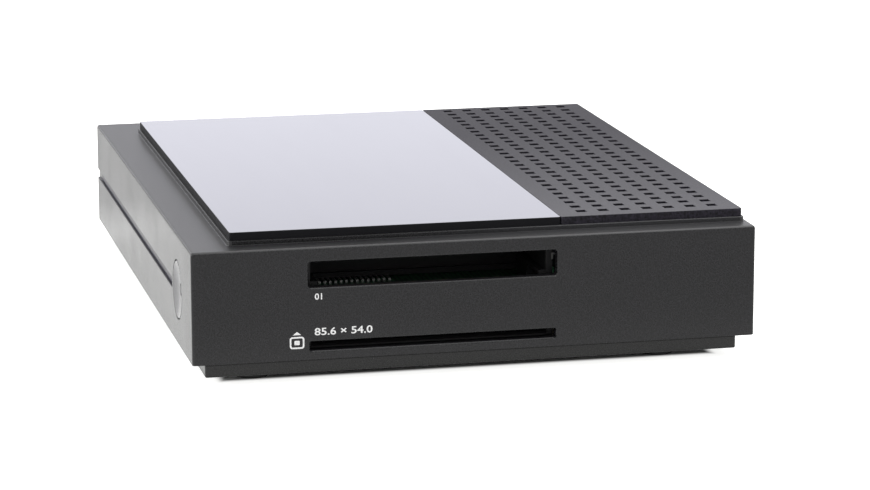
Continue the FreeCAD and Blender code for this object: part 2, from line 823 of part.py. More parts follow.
def ir_receiver():
    """Infrared receiver with a domed lens."""
    y0 = front_y + wall + window_flange_t + window_air + ir_lens_r
    ir_x = front_board_left + ir_inset
    body = box(ir_x - ir_w / 2, ir_x + ir_w / 2, y0, board_face, z_groove - ir_h / 2, z_groove + ir_h / 2)
    return body.fuse(Part.makeSphere(ir_lens_r, V(ir_x, y0, z_groove)))


def status_led():
    """Round lamp behind the window."""
    y0 = front_y + wall + window_flange_t + window_air + led_r
    led_x = front_board_left + led_inset
    lamp = rod(led_r, V(led_x, y0, z_groove), Y_AXIS, board_face - y0)
    collar_y = board_face - led_collar_t
    collar = rod(led_r + led_collar, V(led_x, collar_y, z_groove), Y_AXIS, led_collar_t)
    return lamp.fuse(collar).fuse(Part.makeSphere(led_r, V(led_x, y0, z_groove)))


def front_board_connector():
    """Right-angled connector between the front board and the main board."""
    x0 = front_board_left + front_header_inset - front_header_w / 2
    y0 = board_face + board_t
    z_step = z_board_top + front_header_t
    z1 = z_board_top + front_header_h
    points = (
        (y0, z_board_top),
        (y0 + front_header_foot, z_board_top),
        (y0 + front_header_foot, z_step),
        (y0 + front_header_t, z_step),
        (y0 + front_header_t, z1),
        (y0, z1),
    )
    return profile_along_x(points, x0, x0 + front_header_w)


# ---- Boards ------------------------------------------------------------------------------------------
def main_board():
    """Board on the bosses of the base, notched round the posts."""
    edge = base_x - base_wall - board_clear
    y0 = base_front + base_wall + board_clear
    board = box(-edge, edge, y0, panel_frame_in - board_clear, z_board, z_board_top)
    tools = []
    through = board_t + 2 * OVER
    reach = post_r + post_fit
    for x, y in post_places():
        x0, x1 = sorted((x, math.copysign(edge + OVER, x)))
        tools.append(rod(reach, V(x, y, z_board - OVER), Z_AXIS, through))
        tools.append(box(x0, x1, y - reach, y + reach, z_board - OVER, z_board_top + OVER))
    for x, y in board_hole_places():
        tools.append(rod(screw_r + screw_board_clear, V(x, y, z_board - OVER), Z_AXIS, through))
    return board.cut(tools)


def spacer_places():
    """Centres of the four spacers under the raised board."""
    xs = (ci_board_left + spacer_inset_x, ci_board_right - spacer_inset_x)
    ys = (front_y + ci_board_front + spacer_inset_y, front_y + ci_board_rear - spacer_inset_y)
    return [(x, y) for x in xs for y in ys]


def ci_board():
    """Raised board that carries the module connector over the card reader."""
    y0 = front_y + ci_board_front
    y1 = front_y + ci_board_rear
    return box(ci_board_left, ci_board_right, y0, y1, z_ci_board, z_ci_top)


def board_spacers():
    """Hexagonal spacers that carry the raised board."""
    up = V(0, 0, z_ci_board - z_board_top)
    pieces = [hexagon(V(x, y, z_board_top), X_AXIS, Y_AXIS, 2 * spacer_r, up) for x, y in spacer_places()]
    return Part.makeCompound(pieces)


def stack_plug():
    """Lower half of the board-to-board connector."""
    return block_at(stack_x, slot_mid, stack_w, stack_l, z_board_top, z_board_top + stack_split)


def stack_socket():
    """Upper half of the board-to-board connector."""
    w = stack_w + 2 * stack_socket_rim
    d = stack_l + 2 * stack_socket_rim
    return block_at(stack_x, slot_mid, w, d, z_board_top + stack_split, z_ci_board)


# ---- Smart card reader -------------------------------------------------------------------------------
def smart_card_reader():
    """Flat frame with a thin card path, open and flared at the cover's lower slot."""
    x1 = inner_x - reader_clear
    x0 = x1 - reader_depth
    half = card_path + reader_wall
    z_low = z_card - reader_gap / 2
    z_high = z_card + reader_gap / 2
    body = box(x0, x1, slot_mid - half, slot_mid + half, z_board_top, z_high + reader_roof)
    y0 = slot_mid - card_path
    y1 = slot_mid + card_path
    path = box(x0 + reader_stop, x1 + OVER, y0, y1, z_low, z_high)
    mouth = (
        (x1 - reader_flare_l, z_low),
        (x1, z_low - reader_flare),
        (x1, z_high + reader_flare),
        (x1 - reader_flare_l, z_high),
    )
    window = box(
        x0 + reader_window_inner,
        x1 - reader_window_mouth,
        slot_mid - reader_window_w / 2,
        slot_mid + reader_window_w / 2,
        z_card,
        z_high + reader_roof + OVER,
    )
    return body.cut(path).cut(profile_along_y(mouth, y0, y1)).cut(window)


def card_contacts():
    """Eight spring contacts on the floor of the card path."""
    pieces = []
    z0 = z_card - reader_gap / 2
    for row in range(contact_rows):
        x = side_x - contact_side + (row - (contact_rows - 1) / 2) * contact_row_gap
        for i in range(contacts_per_row):
            y = slot_mid + (i - (contacts_per_row - 1) / 2) * contact_pitch
            pieces.append(block_at(x, y, contact_l, contact_w, z0, z0 + contact_t))
    return Part.makeCompound(pieces)


# ---- Module connector --------------------------------------------------------------------------------
def pin_ys():
    """Y of each pin in a row."""
    return [slot_mid + (i - (pin_count - 1) / 2) * pin_pitch for i in range(pin_count)]


def ci_header():
    """Connector block at the end of the module's path, relieved behind and skirted in front."""
    x0 = header_front - header_t
    y0 = slot_mid - rail_outer
    y1 = slot_mid + rail_outer
    body = box(x0, header_front, y0, y1, z_ci_top, z_module + module_t / 2)
    half = module_w / 2 - header_relief_end
    z0 = z_ci_top + header_sill
    z1 = z_module - module_t / 2
    body = body.cut(box(x0 - OVER, x0 + header_t / 2, slot_mid - half, slot_mid + half, z0, z1))
    skirt_x = header_front + header_skirt_l
    skirt = box(header_front, skirt_x, y0, y1, z_ci_top + lead_t, z_ci_top + header_skirt_h)
    return body.fuse(skirt).removeSplitter()


def ci_pins():
    """Two rows of contact pins that face the module."""
    pins = []
    half = pin_w / 2
    x1 = header_front + pin_l
    for row in range(pin_rows):
        z = z_module + (row - (pin_rows - 1) / 2) * pin_pitch
        pins += [box(header_front, x1, y - half, y + half, z - half, z + half) for y in pin_ys()]
    return Part.makeCompound(pins)


def ci_solder_leads():
    """Flat leads on the board: some come out under the skirt of the connector block, the rest behind it."""
    leads = []
    half = lead_w / 2
    rear_x = header_front - header_t
    for i, y in enumerate(pin_ys()):
        x0 = header_front if i < lead_front_count else rear_x - lead_l
        leads.append(box(x0, x0 + lead_l, y - half, y + half, z_ci_top, z_ci_top + lead_t))
    return Part.makeCompound(leads)


def guide_rail(side):
    """Channel along one edge of the module's path, with a leg down to the board."""
    x1 = inner_x - rail_clear
    z0 = z_module - module_t / 2 - module_fit
    z1 = z_module + module_t / 2 + module_fit
    lip = module_w / 2 - rail_lip
    y0, y1 = sorted((slot_mid + side * lip, slot_mid + side * rail_outer))
    channel = box(header_front, x1, y0, y1, z0 - rail_shelf, z1 + rail_shelf)
    y0, y1 = sorted((slot_mid + side * (lip - OVER), slot_mid + side * module_path))
    channel = channel.cut(box(header_front - OVER, x1 + OVER, y0, y1, z0, z1))
    y0, y1 = sorted((slot_mid + side * (module_path - rail_wall), slot_mid + side * rail_outer))
    leg_x0 = header_front + lead_l + rail_leg_gap
    leg_x1 = ci_board_right - rail_leg_inset
    return channel.fuse(box(leg_x0, leg_x1, y0, y1, z_ci_top, z0 - rail_shelf / 2))


def ci_card_guide():
    """Both rails and the bridge over the connector block that joins them."""
    x0 = header_front - header_t
    x1 = header_front + rail_wall
    z1 = z_module + module_t / 2 + module_fit
    bridge = box(x0, x1, slot_mid - rail_outer, slot_mid + rail_outer, z1, z1 + rail_shelf)
    return guide_rail(-1).fuse(guide_rail(1)).fuse(bridge).removeSplitter()


# ---- Chips, heat sink and power parts ----------------------------------------------------------------
def chips(places, w, d, t):
    """Flat packages on the main board."""
    pieces = [block_at(*place(*where), w, d, z_board_top, z_board_top + t) for where in places]
    return Part.makeCompound(pieces)


def thermal_pad():
    """Soft pad between the processor and its heat sink."""
    z0 = z_board_top + soc_t
    return block_at(*place(*soc_place), pad_w, pad_w, z0, z0 + pad_t)


def heat_sink():
    """Extruded heat sink: a comb profile drawn out along X."""
    soc_x, soc_y = place(*soc_place)
    z0 = z_board_top + soc_t + pad_t
    y0 = soc_y - sink_w / 2
    pitch = (sink_w - fin_t) / (fin_count - 1)
    points = [(y0, z0)]
    for i in range(fin_count):
        points.append((y0 + i * pitch, z0 + sink_h))
        points.append((y0 + i * pitch + fin_t, z0 + sink_h))
        if i < fin_count - 1:
            points.append((y0 + i * pitch + fin_t, z0 + sink_base))
            points.append((y0 + (i + 1) * pitch, z0 + sink_base))
    points.append((y0 + sink_w, z0))
    return profile_along_x(points, soc_x - sink_w / 2, soc_x + sink_w / 2)


def capacitors():
    """Radial electrolytic capacitors with a rolled upper edge."""
    profile = [
        (0, 0),
        (capacitor_r, 0),
        (capacitor_r, capacitor_h - capacitor_edge),
        (capacitor_r - capacitor_edge, capacitor_h),
        (0, capacitor_h),
    ]
    pieces = [
        revolved(profile, V(*place(*where), z_board_top), Z_AXIS, X_AXIS) for where in capacitor_places
    ]
    return Part.makeCompound(pieces)


def rounded_can(where, w, d, h, r):
    """Upright block with rounded corners on the main board."""
    x, y = place(*where)
    z1 = z_board_top + h
    return rounded_block(x - w / 2, x + w / 2, y - d / 2, y + d / 2, z_board_top, z1, r)


def power_coils():
    """Shielded coils of the power supply."""
    pieces = [rounded_can(where, coil_w, coil_w, coil_h, coil_corner_r) for where in coil_places]
    return Part.makeCompound(pieces)


# ---- Rear sockets ------------------------------------------------------------------------------------
def tuner_can():
    """Screened box of the tuner: a thin folded lid, closed by the board."""
    y0 = panel_in - tuner_depth
    y1 = aerial_start
    x0 = tuner_left
    x1 = tuner_left + tuner_w
    z1 = z_board_top + tuner_h
    lid = box(x0, x1, y0, y1, z_board_top, z1)
    skin = tuner_skin
    return lid.cut(box(x0 + skin, x1 - skin, y0 + skin, y1 - skin, z_board_top - OVER, z1 - skin))


def aerial_connector(x):
    """Aerial socket through the rear panel, on the tuner's back wall: its thread starts past the nut."""
    start = V(x, aerial_start, z_aerial)
    thread_y = panel_out + nut_t + aerial_relief
    root = rod(aerial_root_r, start, Y_AXIS, thread_y - aerial_start)
    barrel = root.fuse(rod(aerial_r, V(x, thread_y, z_aerial), Y_AXIS, aerial_tip - thread_y))
    bore = rod(aerial_bore_r, start + Y_AXIS * aerial_floor, Y_AXIS, aerial_tip - aerial_start)
    return barrel.cut(bore)


def aerial_insulators():
    """White plugs inside the aerial sockets, each with the hole for the centre wire."""
    pieces = []
    for x in (aerial_input_x, aerial_output_x):
        start = V(x, aerial_start + aerial_floor, z_aerial)
        length = aerial_tip - insulator_set_back - start.y
        plug = rod(aerial_bore_r, start, Y_AXIS, length)
        pieces.append(plug.cut(rod(insulator_hole_r, start + Y_AXIS * insulator_hole_floor, Y_AXIS, length)))
    return Part.makeCompound(pieces)


def aerial_nuts():
    """Nuts that clamp the panel on the aerial sockets."""
    pieces = []
    for x in (aerial_input_x, aerial_output_x):
        nut = hexagon(V(x, panel_out, z_aerial), X_AXIS, Z_AXIS, nut_across, Y_AXIS * nut_t)
        hole = rod(aerial_root_r + nut_fit, V(x, panel_out - OVER, z_aerial), Y_AXIS, nut_t + 2 * OVER)
        pieces.append(nut.cut(hole))
    return Part.makeCompound(pieces)


def av_jack():
    """Round jack socket with a short nose through the panel."""
    y1 = panel_in - panel_fit
    y0 = y1 - jack_l
    z = z_board_top + jack_h / 2
    body = box(jack_x - jack_w / 2, jack_x + jack_w / 2, y0, y1, z_board_top, z_board_top + jack_h)
    body = body.fuse(rod(jack_nose_r, V(jack_x, y1 - OVER, z), Y_AXIS, socket_face - y1 + OVER))
    bore_y = y0 + jack_back
    return body.cut(rod(jack_bore_r, V(jack_x, bore_y, z), Y_AXIS, socket_face - bore_y + OVER))


def optical_socket():
    """Square digital audio socket."""
    body_y = socket_face - optical_l
    z1 = z_board_top + optical_h
    body = box(optical_x - optical_w / 2, optical_x + optical_w / 2, body_y, socket_face, z_board_top, z1)
    centre = V(optical_x, socket_face - optical_hole_depth, z_board_top + optical_h / 2)
    mouth = rounded_face(centre, X_AXIS, Z_AXIS, optical_hole, optical_hole, optical_hole_r)
    return body.cut(mouth.extrude(V(0, optical_hole_depth + OVER, 0)))


def hdmi_outline(skin, cut):
    """Outline of the video socket, a skin inside the shell: both lower corners are cut off."""
    half = hdmi_w / 2 - skin
    z0 = z_shell + skin
    z1 = z_shell + hdmi_h - skin
    return (
        (hdmi_x - half, z1),
        (hdmi_x - half, z0 + cut),
        (hdmi_x - half + cut, z0),
        (hdmi_x + half - cut, z0),
        (hdmi_x + half, z0 + cut),
        (hdmi_x + half, z1),
    )


def hdmi_socket():
    """Folded steel shell of the video socket with its mounting foot."""
    y0 = socket_face - hdmi_l
    shell = profile_along_y(hdmi_outline(0, hdmi_taper), y0, socket_face)
    room = profile_along_y(hdmi_outline(shell_skin, hdmi_taper_in), y0 + shell_back, socket_face + OVER)
    half = hdmi_w / 2 - hdmi_taper
    sole = box(hdmi_x - half, hdmi_x + half, y0, panel_in - panel_fit, z_board_top, z_shell + shell_skin)
    return shell.cut(room).fuse(sole).removeSplitter()


def hdmi_tongue():
    """Flat tongue inside the video socket."""
    half = hdmi_tongue_w / 2
    z0 = z_shell + hdmi_tongue_z
    y0 = socket_face - hdmi_l + shell_back
    return box(hdmi_x - half, hdmi_x + half, y0, socket_face - tongue_set_back, z0, z0 + hdmi_tongue_t)


def ethernet_socket():
    """Network socket with a stepped mouth."""
    x = ethernet_x
    z1 = z_board_top + ethernet_h
    y0 = socket_face - ethernet_l
    body = box(x - ethernet_w / 2, x + ethernet_w / 2, y0, socket_face, z_board_top, z1)
    y_in = socket_face - ethernet_mouth_depth
    y_out = socket_face + OVER
    z_roof = z1 - ethernet_mouth_z
    z_mouth = z_roof - ethernet_mouth_h
    half = ethernet_mouth_w / 2
    mouth = box(x - half, x + half, y_in, y_out, z_mouth, z_roof)
    half = ethernet_key_w / 2
    return body.cut(mouth).cut(box(x - half, x + half, y_in, y_out, z_mouth - ethernet_key_h, z_mouth))


def ethernet_contacts():
    """Sloping contact wires under the roof of the network socket."""
    t = ethernet_contact_w
    z1 = z_board_top + ethernet_h - ethernet_mouth_z
    z0 = z1 - ethernet_contact_drop
    y0 = socket_face - ethernet_mouth_depth
    y1 = socket_face - ethernet_contact_set_back
    points = ((y0, z1), (y0, z0), (y0 + t, z0), (y1, z1 - t), (y1, z1))
    pieces = []
    for i in range(ethernet_contact_count):
        x = ethernet_x + (i - (ethernet_contact_count - 1) / 2) * ethernet_contact_pitch
        pieces.append(profile_along_x(points, x - t / 2, x + t / 2))
    return Part.makeCompound(pieces)


def usb_socket():
    """Folded steel shell of the data socket with its mounting foot."""
    y0 = socket_face - usb_l
    z1 = z_shell + usb_h
    half = usb_w / 2
    shell = box(usb_x - half, usb_x + half, y0, socket_face, z_shell, z1)
    half = usb_w / 2 - shell_skin
    y_in = y0 + shell_back
    room = box(usb_x - half, usb_x + half, y_in, socket_face + OVER, z_shell + shell_skin, z1 - shell_skin)
    half = usb_w / 2 - usb_foot_inset
    y1 = panel_in - panel_fit
    sole = box(usb_x - half, usb_x + half, y0, y1, z_board_top, z_shell + shell_skin / 2)
    return shell.cut(room).fuse(sole).removeSplitter()


def usb_tongue():
    """Flat tongue inside the data socket."""
    half = usb_tongue_w / 2
    z1 = z_shell + usb_h - shell_skin - usb_tongue_drop
    y0 = socket_face - usb_l + shell_back
    return box(usb_x - half, usb_x + half, y0, socket_face - tongue_set_back, z1 - usb_tongue_t, z1)


def dc_socket():
    """Low-voltage power inlet."""
    y0 = socket_face - dc_l
    z = z_board_top + dc_h / 2
    body = box(dc_x - dc_w / 2, dc_x + dc_w / 2, y0, socket_face, z_board_top, z_board_top + dc_h)
    return body.cut(rod(dc_bore_r, V(dc_x, socket_face - dc_bore_depth, z), Y_AXIS, dc_bore_depth + OVER))


def dc_pin():
    """Centre pin of the power inlet."""
    start = V(dc_x, socket_face - dc_bore_depth, z_board_top + dc_h / 2)
    return rod(dc_pin_r, start, Y_AXIS, dc_bore_depth - dc_pin_set_back)


# ---- Rear rocker switch ------------------------------------------------------------------------------
def switch_body_h():
    """Height of the switch body: the rocker's sweep and a skin above and below."""
    return 2 * (rocker_r + rocker_fit + switch_skin)


def rocker_centre():
    """Middle of the rocker's pivot."""
    return V(switch_x, panel_out - rocker_pivot, z_board_top + switch_z)


def switch_housing():
    """Switch body behind the panel and its flange in front, open for the rocker."""
    x = switch_x
    centre = rocker_centre()
    y1 = panel_out + switch_flange_t
    half = switch_body_w / 2
    half_h = switch_body_h() / 2
    body = box(x - half, x + half, panel_in - switch_body_l, panel_out, centre.z - half_h, centre.z + half_h)
    half = switch_flange_w / 2
    half_h = switch_flange_h / 2
    flange = box(x - half, x + half, panel_out, y1, centre.z - half_h, centre.z + half_h)
    half = switch_body_w / 2 - switch_skin
    reach = rocker_r + rocker_fit
    room = box(x - half, x + half, centre.y - reach, y1 + OVER, centre.z - reach, centre.z + reach)
    pivot_l = switch_body_w + 2 * OVER
    pivot = rod(rocker_pin_r + rocker_pin_fit, V(x - pivot_l / 2, centre.y, centre.z), X_AXIS, pivot_l)
    return body.fuse(flange).cut(room).cut(pivot).removeSplitter()


def switch_rocker():
    """Rocker with a shallow V face, on two pivot pins, tipped to one side at rest."""
    centre = rocker_centre()
    half = switch_body_w / 2 - switch_skin - rocker_fit
    disc = rod(rocker_r, V(switch_x - half, centre.y, centre.z), X_AXIS, 2 * half)
    rise = math.tan(math.radians(rocker_slope)) * rocker_r
    front = rocker_valley
    outline = (
        (centre.y - rocker_back, centre.z - rocker_r),
        (centre.y + front + rise, centre.z - rocker_r),
        (centre.y + front, centre.z),
        (centre.y + front + rise, centre.z + rocker_r),
        (centre.y - rocker_back, centre.z + rocker_r),
    )
    rocker = disc.common(profile_along_x(outline, switch_x - half, switch_x + half))
    pin_l = switch_body_w - 2 * rocker_pin_end
    rocker = rocker.fuse(rod(rocker_pin_r, V(switch_x - pin_l / 2, centre.y, centre.z), X_AXIS, pin_l))
    rocker.rotate(centre, X_AXIS, -rocker_rest)
    return rocker.removeSplitter()


def switch_terminals():
    """Two tabs behind the switch body."""
    y1 = panel_in - switch_body_l
    y0 = y1 - terminal_l
    half = terminal_t / 2
    pieces = []
    for step in (-1, 1):
        z = rocker_centre().z + step * rocker_r / 2
        x0 = switch_x - terminal_w / 2
        pieces.append(box(x0, x0 + terminal_w, y0, y1, z - half, z + half))
    return Part.makeCompound(pieces)


def build():
    """Every node by name."""
    nodes = {
        "top_cover": top_cover(),
        "base_tray": base_tray(),
        "gloss_top_panel": gloss_top_panel(),
        "vent_panel": vent_panel(),
        "rear_panel": rear_panel(),
        "housing_screws": housing_screws(),
        "ir_window": ir_window(),
        "power_button": power_button(),
        "tact_switch": tact_switch(),
        "tact_plunger": tact_plunger(),
        "front_board": front_board(),
        "front_board_connector": front_board_connector(),
        "ir_receiver": ir_receiver(),
        "status_led": status_led(),
        "main_board": main_board(),
        "board_screws": board_screws(),
        "ci_board": ci_board(),
        "board_spacers": board_spacers(),
        "stack_plug": stack_plug(),
        "stack_socket": stack_socket(),
        "smart_card_reader": smart_card_reader(),
        "card_contacts": card_contacts(),
        "ci_header": ci_header(),
        "ci_pins": ci_pins(),
        "ci_solder_leads": ci_solder_leads(),
        "ci_card_guide": ci_card_guide(),
        "soc_chip": chips((soc_place,), soc_w, soc_w, soc_t),
        "thermal_pad": thermal_pad(),
        "heat_sink": heat_sink(),
        "memory_chips": chips(memory_places, memory_w, memory_l, memory_t),
        "flash_chip": chips((flash_place,), flash_w, flash_l, flash_t),
        "capacitors": capacitors(),
        "power_coils": power_coils(),
        "crystal": rounded_can(crystal_place, crystal_w, crystal_l, crystal_h, crystal_r),
        "tuner_can": tuner_can(),
        "aerial_input": aerial_connector(aerial_input_x),
        "aerial_output": aerial_connector(aerial_output_x),
        "aerial_insulators": aerial_insulators(),
        "aerial_nuts": aerial_nuts(),
        "av_jack": av_jack(),
        "optical_socket": optical_socket(),
        "hdmi_socket": hdmi_socket(),
        "hdmi_tongue": hdmi_tongue(),
        "ethernet_socket": ethernet_socket(),
        "ethernet_contacts": ethernet_contacts(),
        "usb_socket": usb_socket(),
        "usb_tongue": usb_tongue(),
        "dc_socket": dc_socket(),
        "dc_pin": dc_pin(),
        "switch_housing": switch_housing(),
        "switch_rocker": switch_rocker(),
        "switch_terminals": switch_terminals(),
    }
    for name, x, y in foot_places():
        nodes[name] = foot(x, y)
    return nodes


os.makedirs("parts", exist_ok=True)
for name, shape in build().items():
    shape.exportStep(f"parts/{name}.step")
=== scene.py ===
import json
import math

import bmesh
import bpy
from mathutils import Matrix, Vector


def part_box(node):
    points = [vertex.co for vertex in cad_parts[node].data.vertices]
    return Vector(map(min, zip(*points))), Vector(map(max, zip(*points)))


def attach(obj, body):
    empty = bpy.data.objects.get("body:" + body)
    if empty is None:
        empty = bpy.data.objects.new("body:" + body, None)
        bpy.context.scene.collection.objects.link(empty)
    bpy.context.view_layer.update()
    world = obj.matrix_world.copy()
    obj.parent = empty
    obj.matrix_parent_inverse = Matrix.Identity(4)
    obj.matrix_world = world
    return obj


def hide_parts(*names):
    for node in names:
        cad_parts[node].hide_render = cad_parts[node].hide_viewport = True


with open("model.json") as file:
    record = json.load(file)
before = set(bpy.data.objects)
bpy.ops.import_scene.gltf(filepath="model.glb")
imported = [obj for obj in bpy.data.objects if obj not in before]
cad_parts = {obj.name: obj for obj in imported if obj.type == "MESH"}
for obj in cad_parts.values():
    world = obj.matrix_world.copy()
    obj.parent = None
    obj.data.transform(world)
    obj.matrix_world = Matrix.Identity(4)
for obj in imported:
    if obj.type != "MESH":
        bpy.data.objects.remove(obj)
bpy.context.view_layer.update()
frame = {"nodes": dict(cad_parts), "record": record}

# Satellite television receiver on a plain pale floor. Metres, in the frame of the CAD model: the front
# panel faces -Y, the two card slots open on +X, and the feet stand on Z = 0.

nodes = frame["nodes"]
MM = 0.001

# ---- Camera: place in the row frame, and the direction that it looks in --------------------------------
CAMERA_PLACE = Vector((793.19, -175.12, 189.27)) * MM
CAMERA_AZIMUTH = 12.82          # degrees, off the -X direction towards +Y
CAMERA_DROP = 12.28             # degrees below the horizon
CAMERA_ROLL = -0.07             # degrees
FOCAL_PIXELS = 3347.4
PICTURE_WIDTH = 870             # pixels
SENSOR = 36.0                   # millimetres

# ---- Studio, in metres ---------------------------------------------------------------------------------
FLOOR_HALF = 6.0
FLOOR_COLOUR = (0.64, 0.64, 0.636)
FLOOR_GLOW = (1.0, 1.0, 0.985, 1.0)   # colour of the extra white
FLOOR_LIFT = 0.85               # extra white that the camera sees
MIRROR_PAINTED_LIGHT = (0.50, 0.0)       # painted light on the floor that only reflections see, near the object and away from it
LIFT_HALF = (0.0787, 0.0617)    # half sizes of the base's outline on the floor
LIFT_MIDDLE = (0.0, -0.0033)
PAINTED_SHADOW_RAMP = (-0.0056, -0.0030)  # distances from that outline, from no extra white to all of it: inside, the real shadow shows with a painted edge
MIRROR_RAMP = (0.012, 0.055)    # distances from that outline, from near to away
WORLD_NEAR = 0.90               # light from the sky behind the camera
WORLD_FAR = 0.42                # light from the sky behind the object
LAMP_AIM = (0, 0, 0.02)
LAMPS = (                       # name, place, width, height, radiance, colour
    ("rear_softbox", (-1.5, 0.43, 0.35), 1.9, 0.22, 1.12, (0.82, 0.82, 1.0)),
    ("top_softbox", (-0.05, -0.05, 1.5), 2.4, 2.4, 1.85, (1, 1, 1)),
    ("left_softbox", (-0.2, -1.4, 0.5), 1.6, 0.8, 2.5, (1, 1, 1)),
)

# ---- Printed marks, in millimetres ---------------------------------------------------------------------
PRINT_T = 0.012                 # thickness
PRINT_SINK = 0.004              # how far they reach into what carries them
UPPER_NUMERAL = ("01", (-40.65, 19.4), (-39.0, 20.85))   # text, lower corner and upper corner (Y, Z)
LOWER_NUMERAL = ("85.6 \u00d7 54.0", (-40.75, 11.25), (-27.6, 12.95))
TEXT_SIZE = 2.4                 # before the text is fitted between those corners
TEXT_WEIGHT = 0.035             # added to both sides of its strokes, at that size
CARD_MARK = (-44.75, 8.4)       # middle of the foot of the card pictogram (Y, Z)
CARD_MARK_W = 3.3
CARD_MARK_H = 2.75
CARD_MARK_LINE = 0.36
CARD_CORNER_R = (0.6, 0.3, 0.2)   # outer and inner corners of the card, corners of the chip
CARD_CHIP = (1.2, 1.0)
CARD_ARROW = (1.9, 0.75)
CARD_ARROW_GAP = 0.4
POWER_MARK_R = 1.5
POWER_MARK_LINE = 0.42
POWER_MARK_OPEN = 38.0          # degrees, each side of the gap at the top of the ring
POWER_MARK_BAR = (0.15, 1.75)   # lower and upper end of the bar, above the middle
POWER_RING_STEPS = 40
POWER_BAR_STEPS = 6
ROCKER_BAR = (0.4, 2.2)         # width and height of the bar on the rear rocker
ROCKER_RING_R = 1.1
ROCKER_RING_STEP = 12           # degrees
ROCKER_OUTWARD = 0.9            # least Y of a direction that counts as outward
ROCKER_LEVEL = 0.01             # difference below which two directions are one

# ---- Small forms, in millimetres -----------------------------------------------------------------------
BUTTON_DISH_R = 6.25            # radius of the dish in the button's face
BUTTON_DISH = 0.9               # its depth
THREAD_PITCH = 0.79             # 3/8 inch, 32 threads to the inch
THREAD_DEPTH = 0.4
THREAD_FORM = (2.6, 0.8)        # slope of the flanks, and what is taken off at the root
THREAD_RUNOUT = 0.4             # of a pitch, at both ends
THREAD_STEPS = 48               # points round one turn
THREAD_ROWS = 8                 # rows of points in one pitch
THREAD_SMOOTH = 60.0            # degrees, below which its edges are shaded smooth
AERIAL_THREAD_L = 8.75          # exposed thread
AERIAL_TIP = 0.35               # end of the thread to the end of the socket
AERIAL_TIP_EDGE = 0.15
AERIAL_BORE_R = 3.7
AERIAL_BORE_EDGE = 0.2
AERIAL_FLOOR = 0.8
SPRING_LEVEL = (24.7, 26.3)     # lower and upper edge of the leaf spring beside the module's path
SPRING_L = 3.0
SPRING_T = 0.08
SPRING_FOLD = 0.24
SCREW_APART = 6                 # more than a screw is wide, and less than the way to the next
SCREW_R = 1.3
SCREW_HEAD = ((2.6, 0.0), (2.6, 0.75), (1.95, 1.3))   # radius and height of the head's outline
SCREW_STEPS = 32
SCREW_TURN = 37.0               # degrees from one screw's cross to the next
CROSS_ARM = 1.35                # middle of a screw's head to the end of an arm of its cross
CROSS_HALF = 0.33
CROSS_DEEP = 0.85
CROSS_TAPER = 0.5               # length of the arms at the bottom, as a share of the top
CROSS_NARROW = 0.8              # width of the arms at the bottom, as a share of the top

# ---- Edges and fine surfaces, in millimetres -----------------------------------------------------------
SOFT_EDGES = (                  # node, width, segments, whether the width gives way where edges are close
    ("gloss_top_panel", 0.12, 3, True),
    ("vent_panel", 0.10, 1, True),
    ("top_cover", 0.15, 2, False),
    ("base_tray", 0.15, 2, False),
)
EDGE_ANGLE = 35.0               # degrees, above which an edge is rounded
EDGE_WELD = 0.002
FLAT_ANGLE = 0.5                # degrees, below which two faces are one
PIECE_WELD = 0.0005
SMOOTH_BELOW = 35.0             # degrees, below which an edge of a piece is shaded smooth
RIPPLE = 0.004                  # depth of the ripple of polished faces and of the streaks of metal
SHEEN_SCALE = 60                # patches of drifting sheen to the metre
NOISE_MIDDLE = (0.3, 0.7)       # most of a noise value lies between these

# ---- Painted highlight, painted shade and sheen by place, in millimetres -------------------------------
RIM_START = 76.05               # on X, from where the step under the top panels has a painted highlight
RIM_LEVELS = (31.0, 32.3)       # on Z, from where the painted highlight starts and from where it is stronger
RIM_HIGHLIGHT_SHARE = (0.20, 0.50)         # share of the painted highlight's colour that each level adds
RIM_FADE = (-28.0, 24.0)        # on Y, from none to all of it
# colour of that painted highlight
RIM_HIGHLIGHT_COLOUR = (0.10, 0.10, 0.104)
SEAM_PAINTED_SHADE = (4.6, 4.85)        # on Z, from where the painted shade on the tray's sides begins to where it is deepest
SEAM_LEVEL = 0.35               # what is left of a reflection in that painted shade
GRILLE_SHEEN = (-30.0, 70.0)    # on X, from the duller end of the vent panel to its shinier one


# ---- Parts of materials --------------------------------------------------------------------------------
def bsdf_of(material):
    return material.node_tree.nodes["Principled BSDF"]


def shader(name, colour, roughness, **sockets):
    """Principled material with its constant values on the shader's own sockets."""
    material = bpy.data.materials.get(name) or bpy.data.materials.new(name)
    material.use_nodes = True
    bsdf = bsdf_of(material)
    bsdf.inputs["Base Color"].default_value = (*colour, 1.0)
    bsdf.inputs["Roughness"].default_value = roughness
    for socket, value in sockets.items():
        bsdf.inputs[socket.replace("_", " ")].default_value = value
    return material


def scaled(values, factor):
    return tuple(value * factor for value in values)


def places(tree, kind="Object"):
    """X, Y and Z of a point, as the outputs of a node."""
    coordinate = tree.nodes.new("ShaderNodeTexCoord")
    axes = tree.nodes.new("ShaderNodeSeparateXYZ")
    tree.links.new(coordinate.outputs[kind], axes.inputs["Vector"])
    return axes.outputs


def object_noise(material, scale, detail=2.0, stretch=(1, 1, 1)):
    """Noise in object coordinates, with `scale` features to the metre."""
    tree = material.node_tree
    coordinate = tree.nodes.new("ShaderNodeTexCoord")
    mapping = tree.nodes.new("ShaderNodeMapping")
    mapping.inputs["Scale"].default_value = stretch
    noise = tree.nodes.new("ShaderNodeTexNoise")
    noise.inputs["Scale"].default_value = scale
    noise.inputs["Detail"].default_value = detail
    tree.links.new(coordinate.outputs["Object"], mapping.inputs["Vector"])
    tree.links.new(mapping.outputs["Vector"], noise.inputs["Vector"])
    return noise.outputs["Fac"]


def number(tree, operation, *values):
    """Result of a sum on numbers or on the outputs of other nodes."""
    node = tree.nodes.new("ShaderNodeMath")
    node.operation = operation
    for socket, value in zip(node.inputs, values):
        if isinstance(value, float):
            socket.default_value = value
        else:
            tree.links.new(value, socket)
    return node.outputs["Value"]


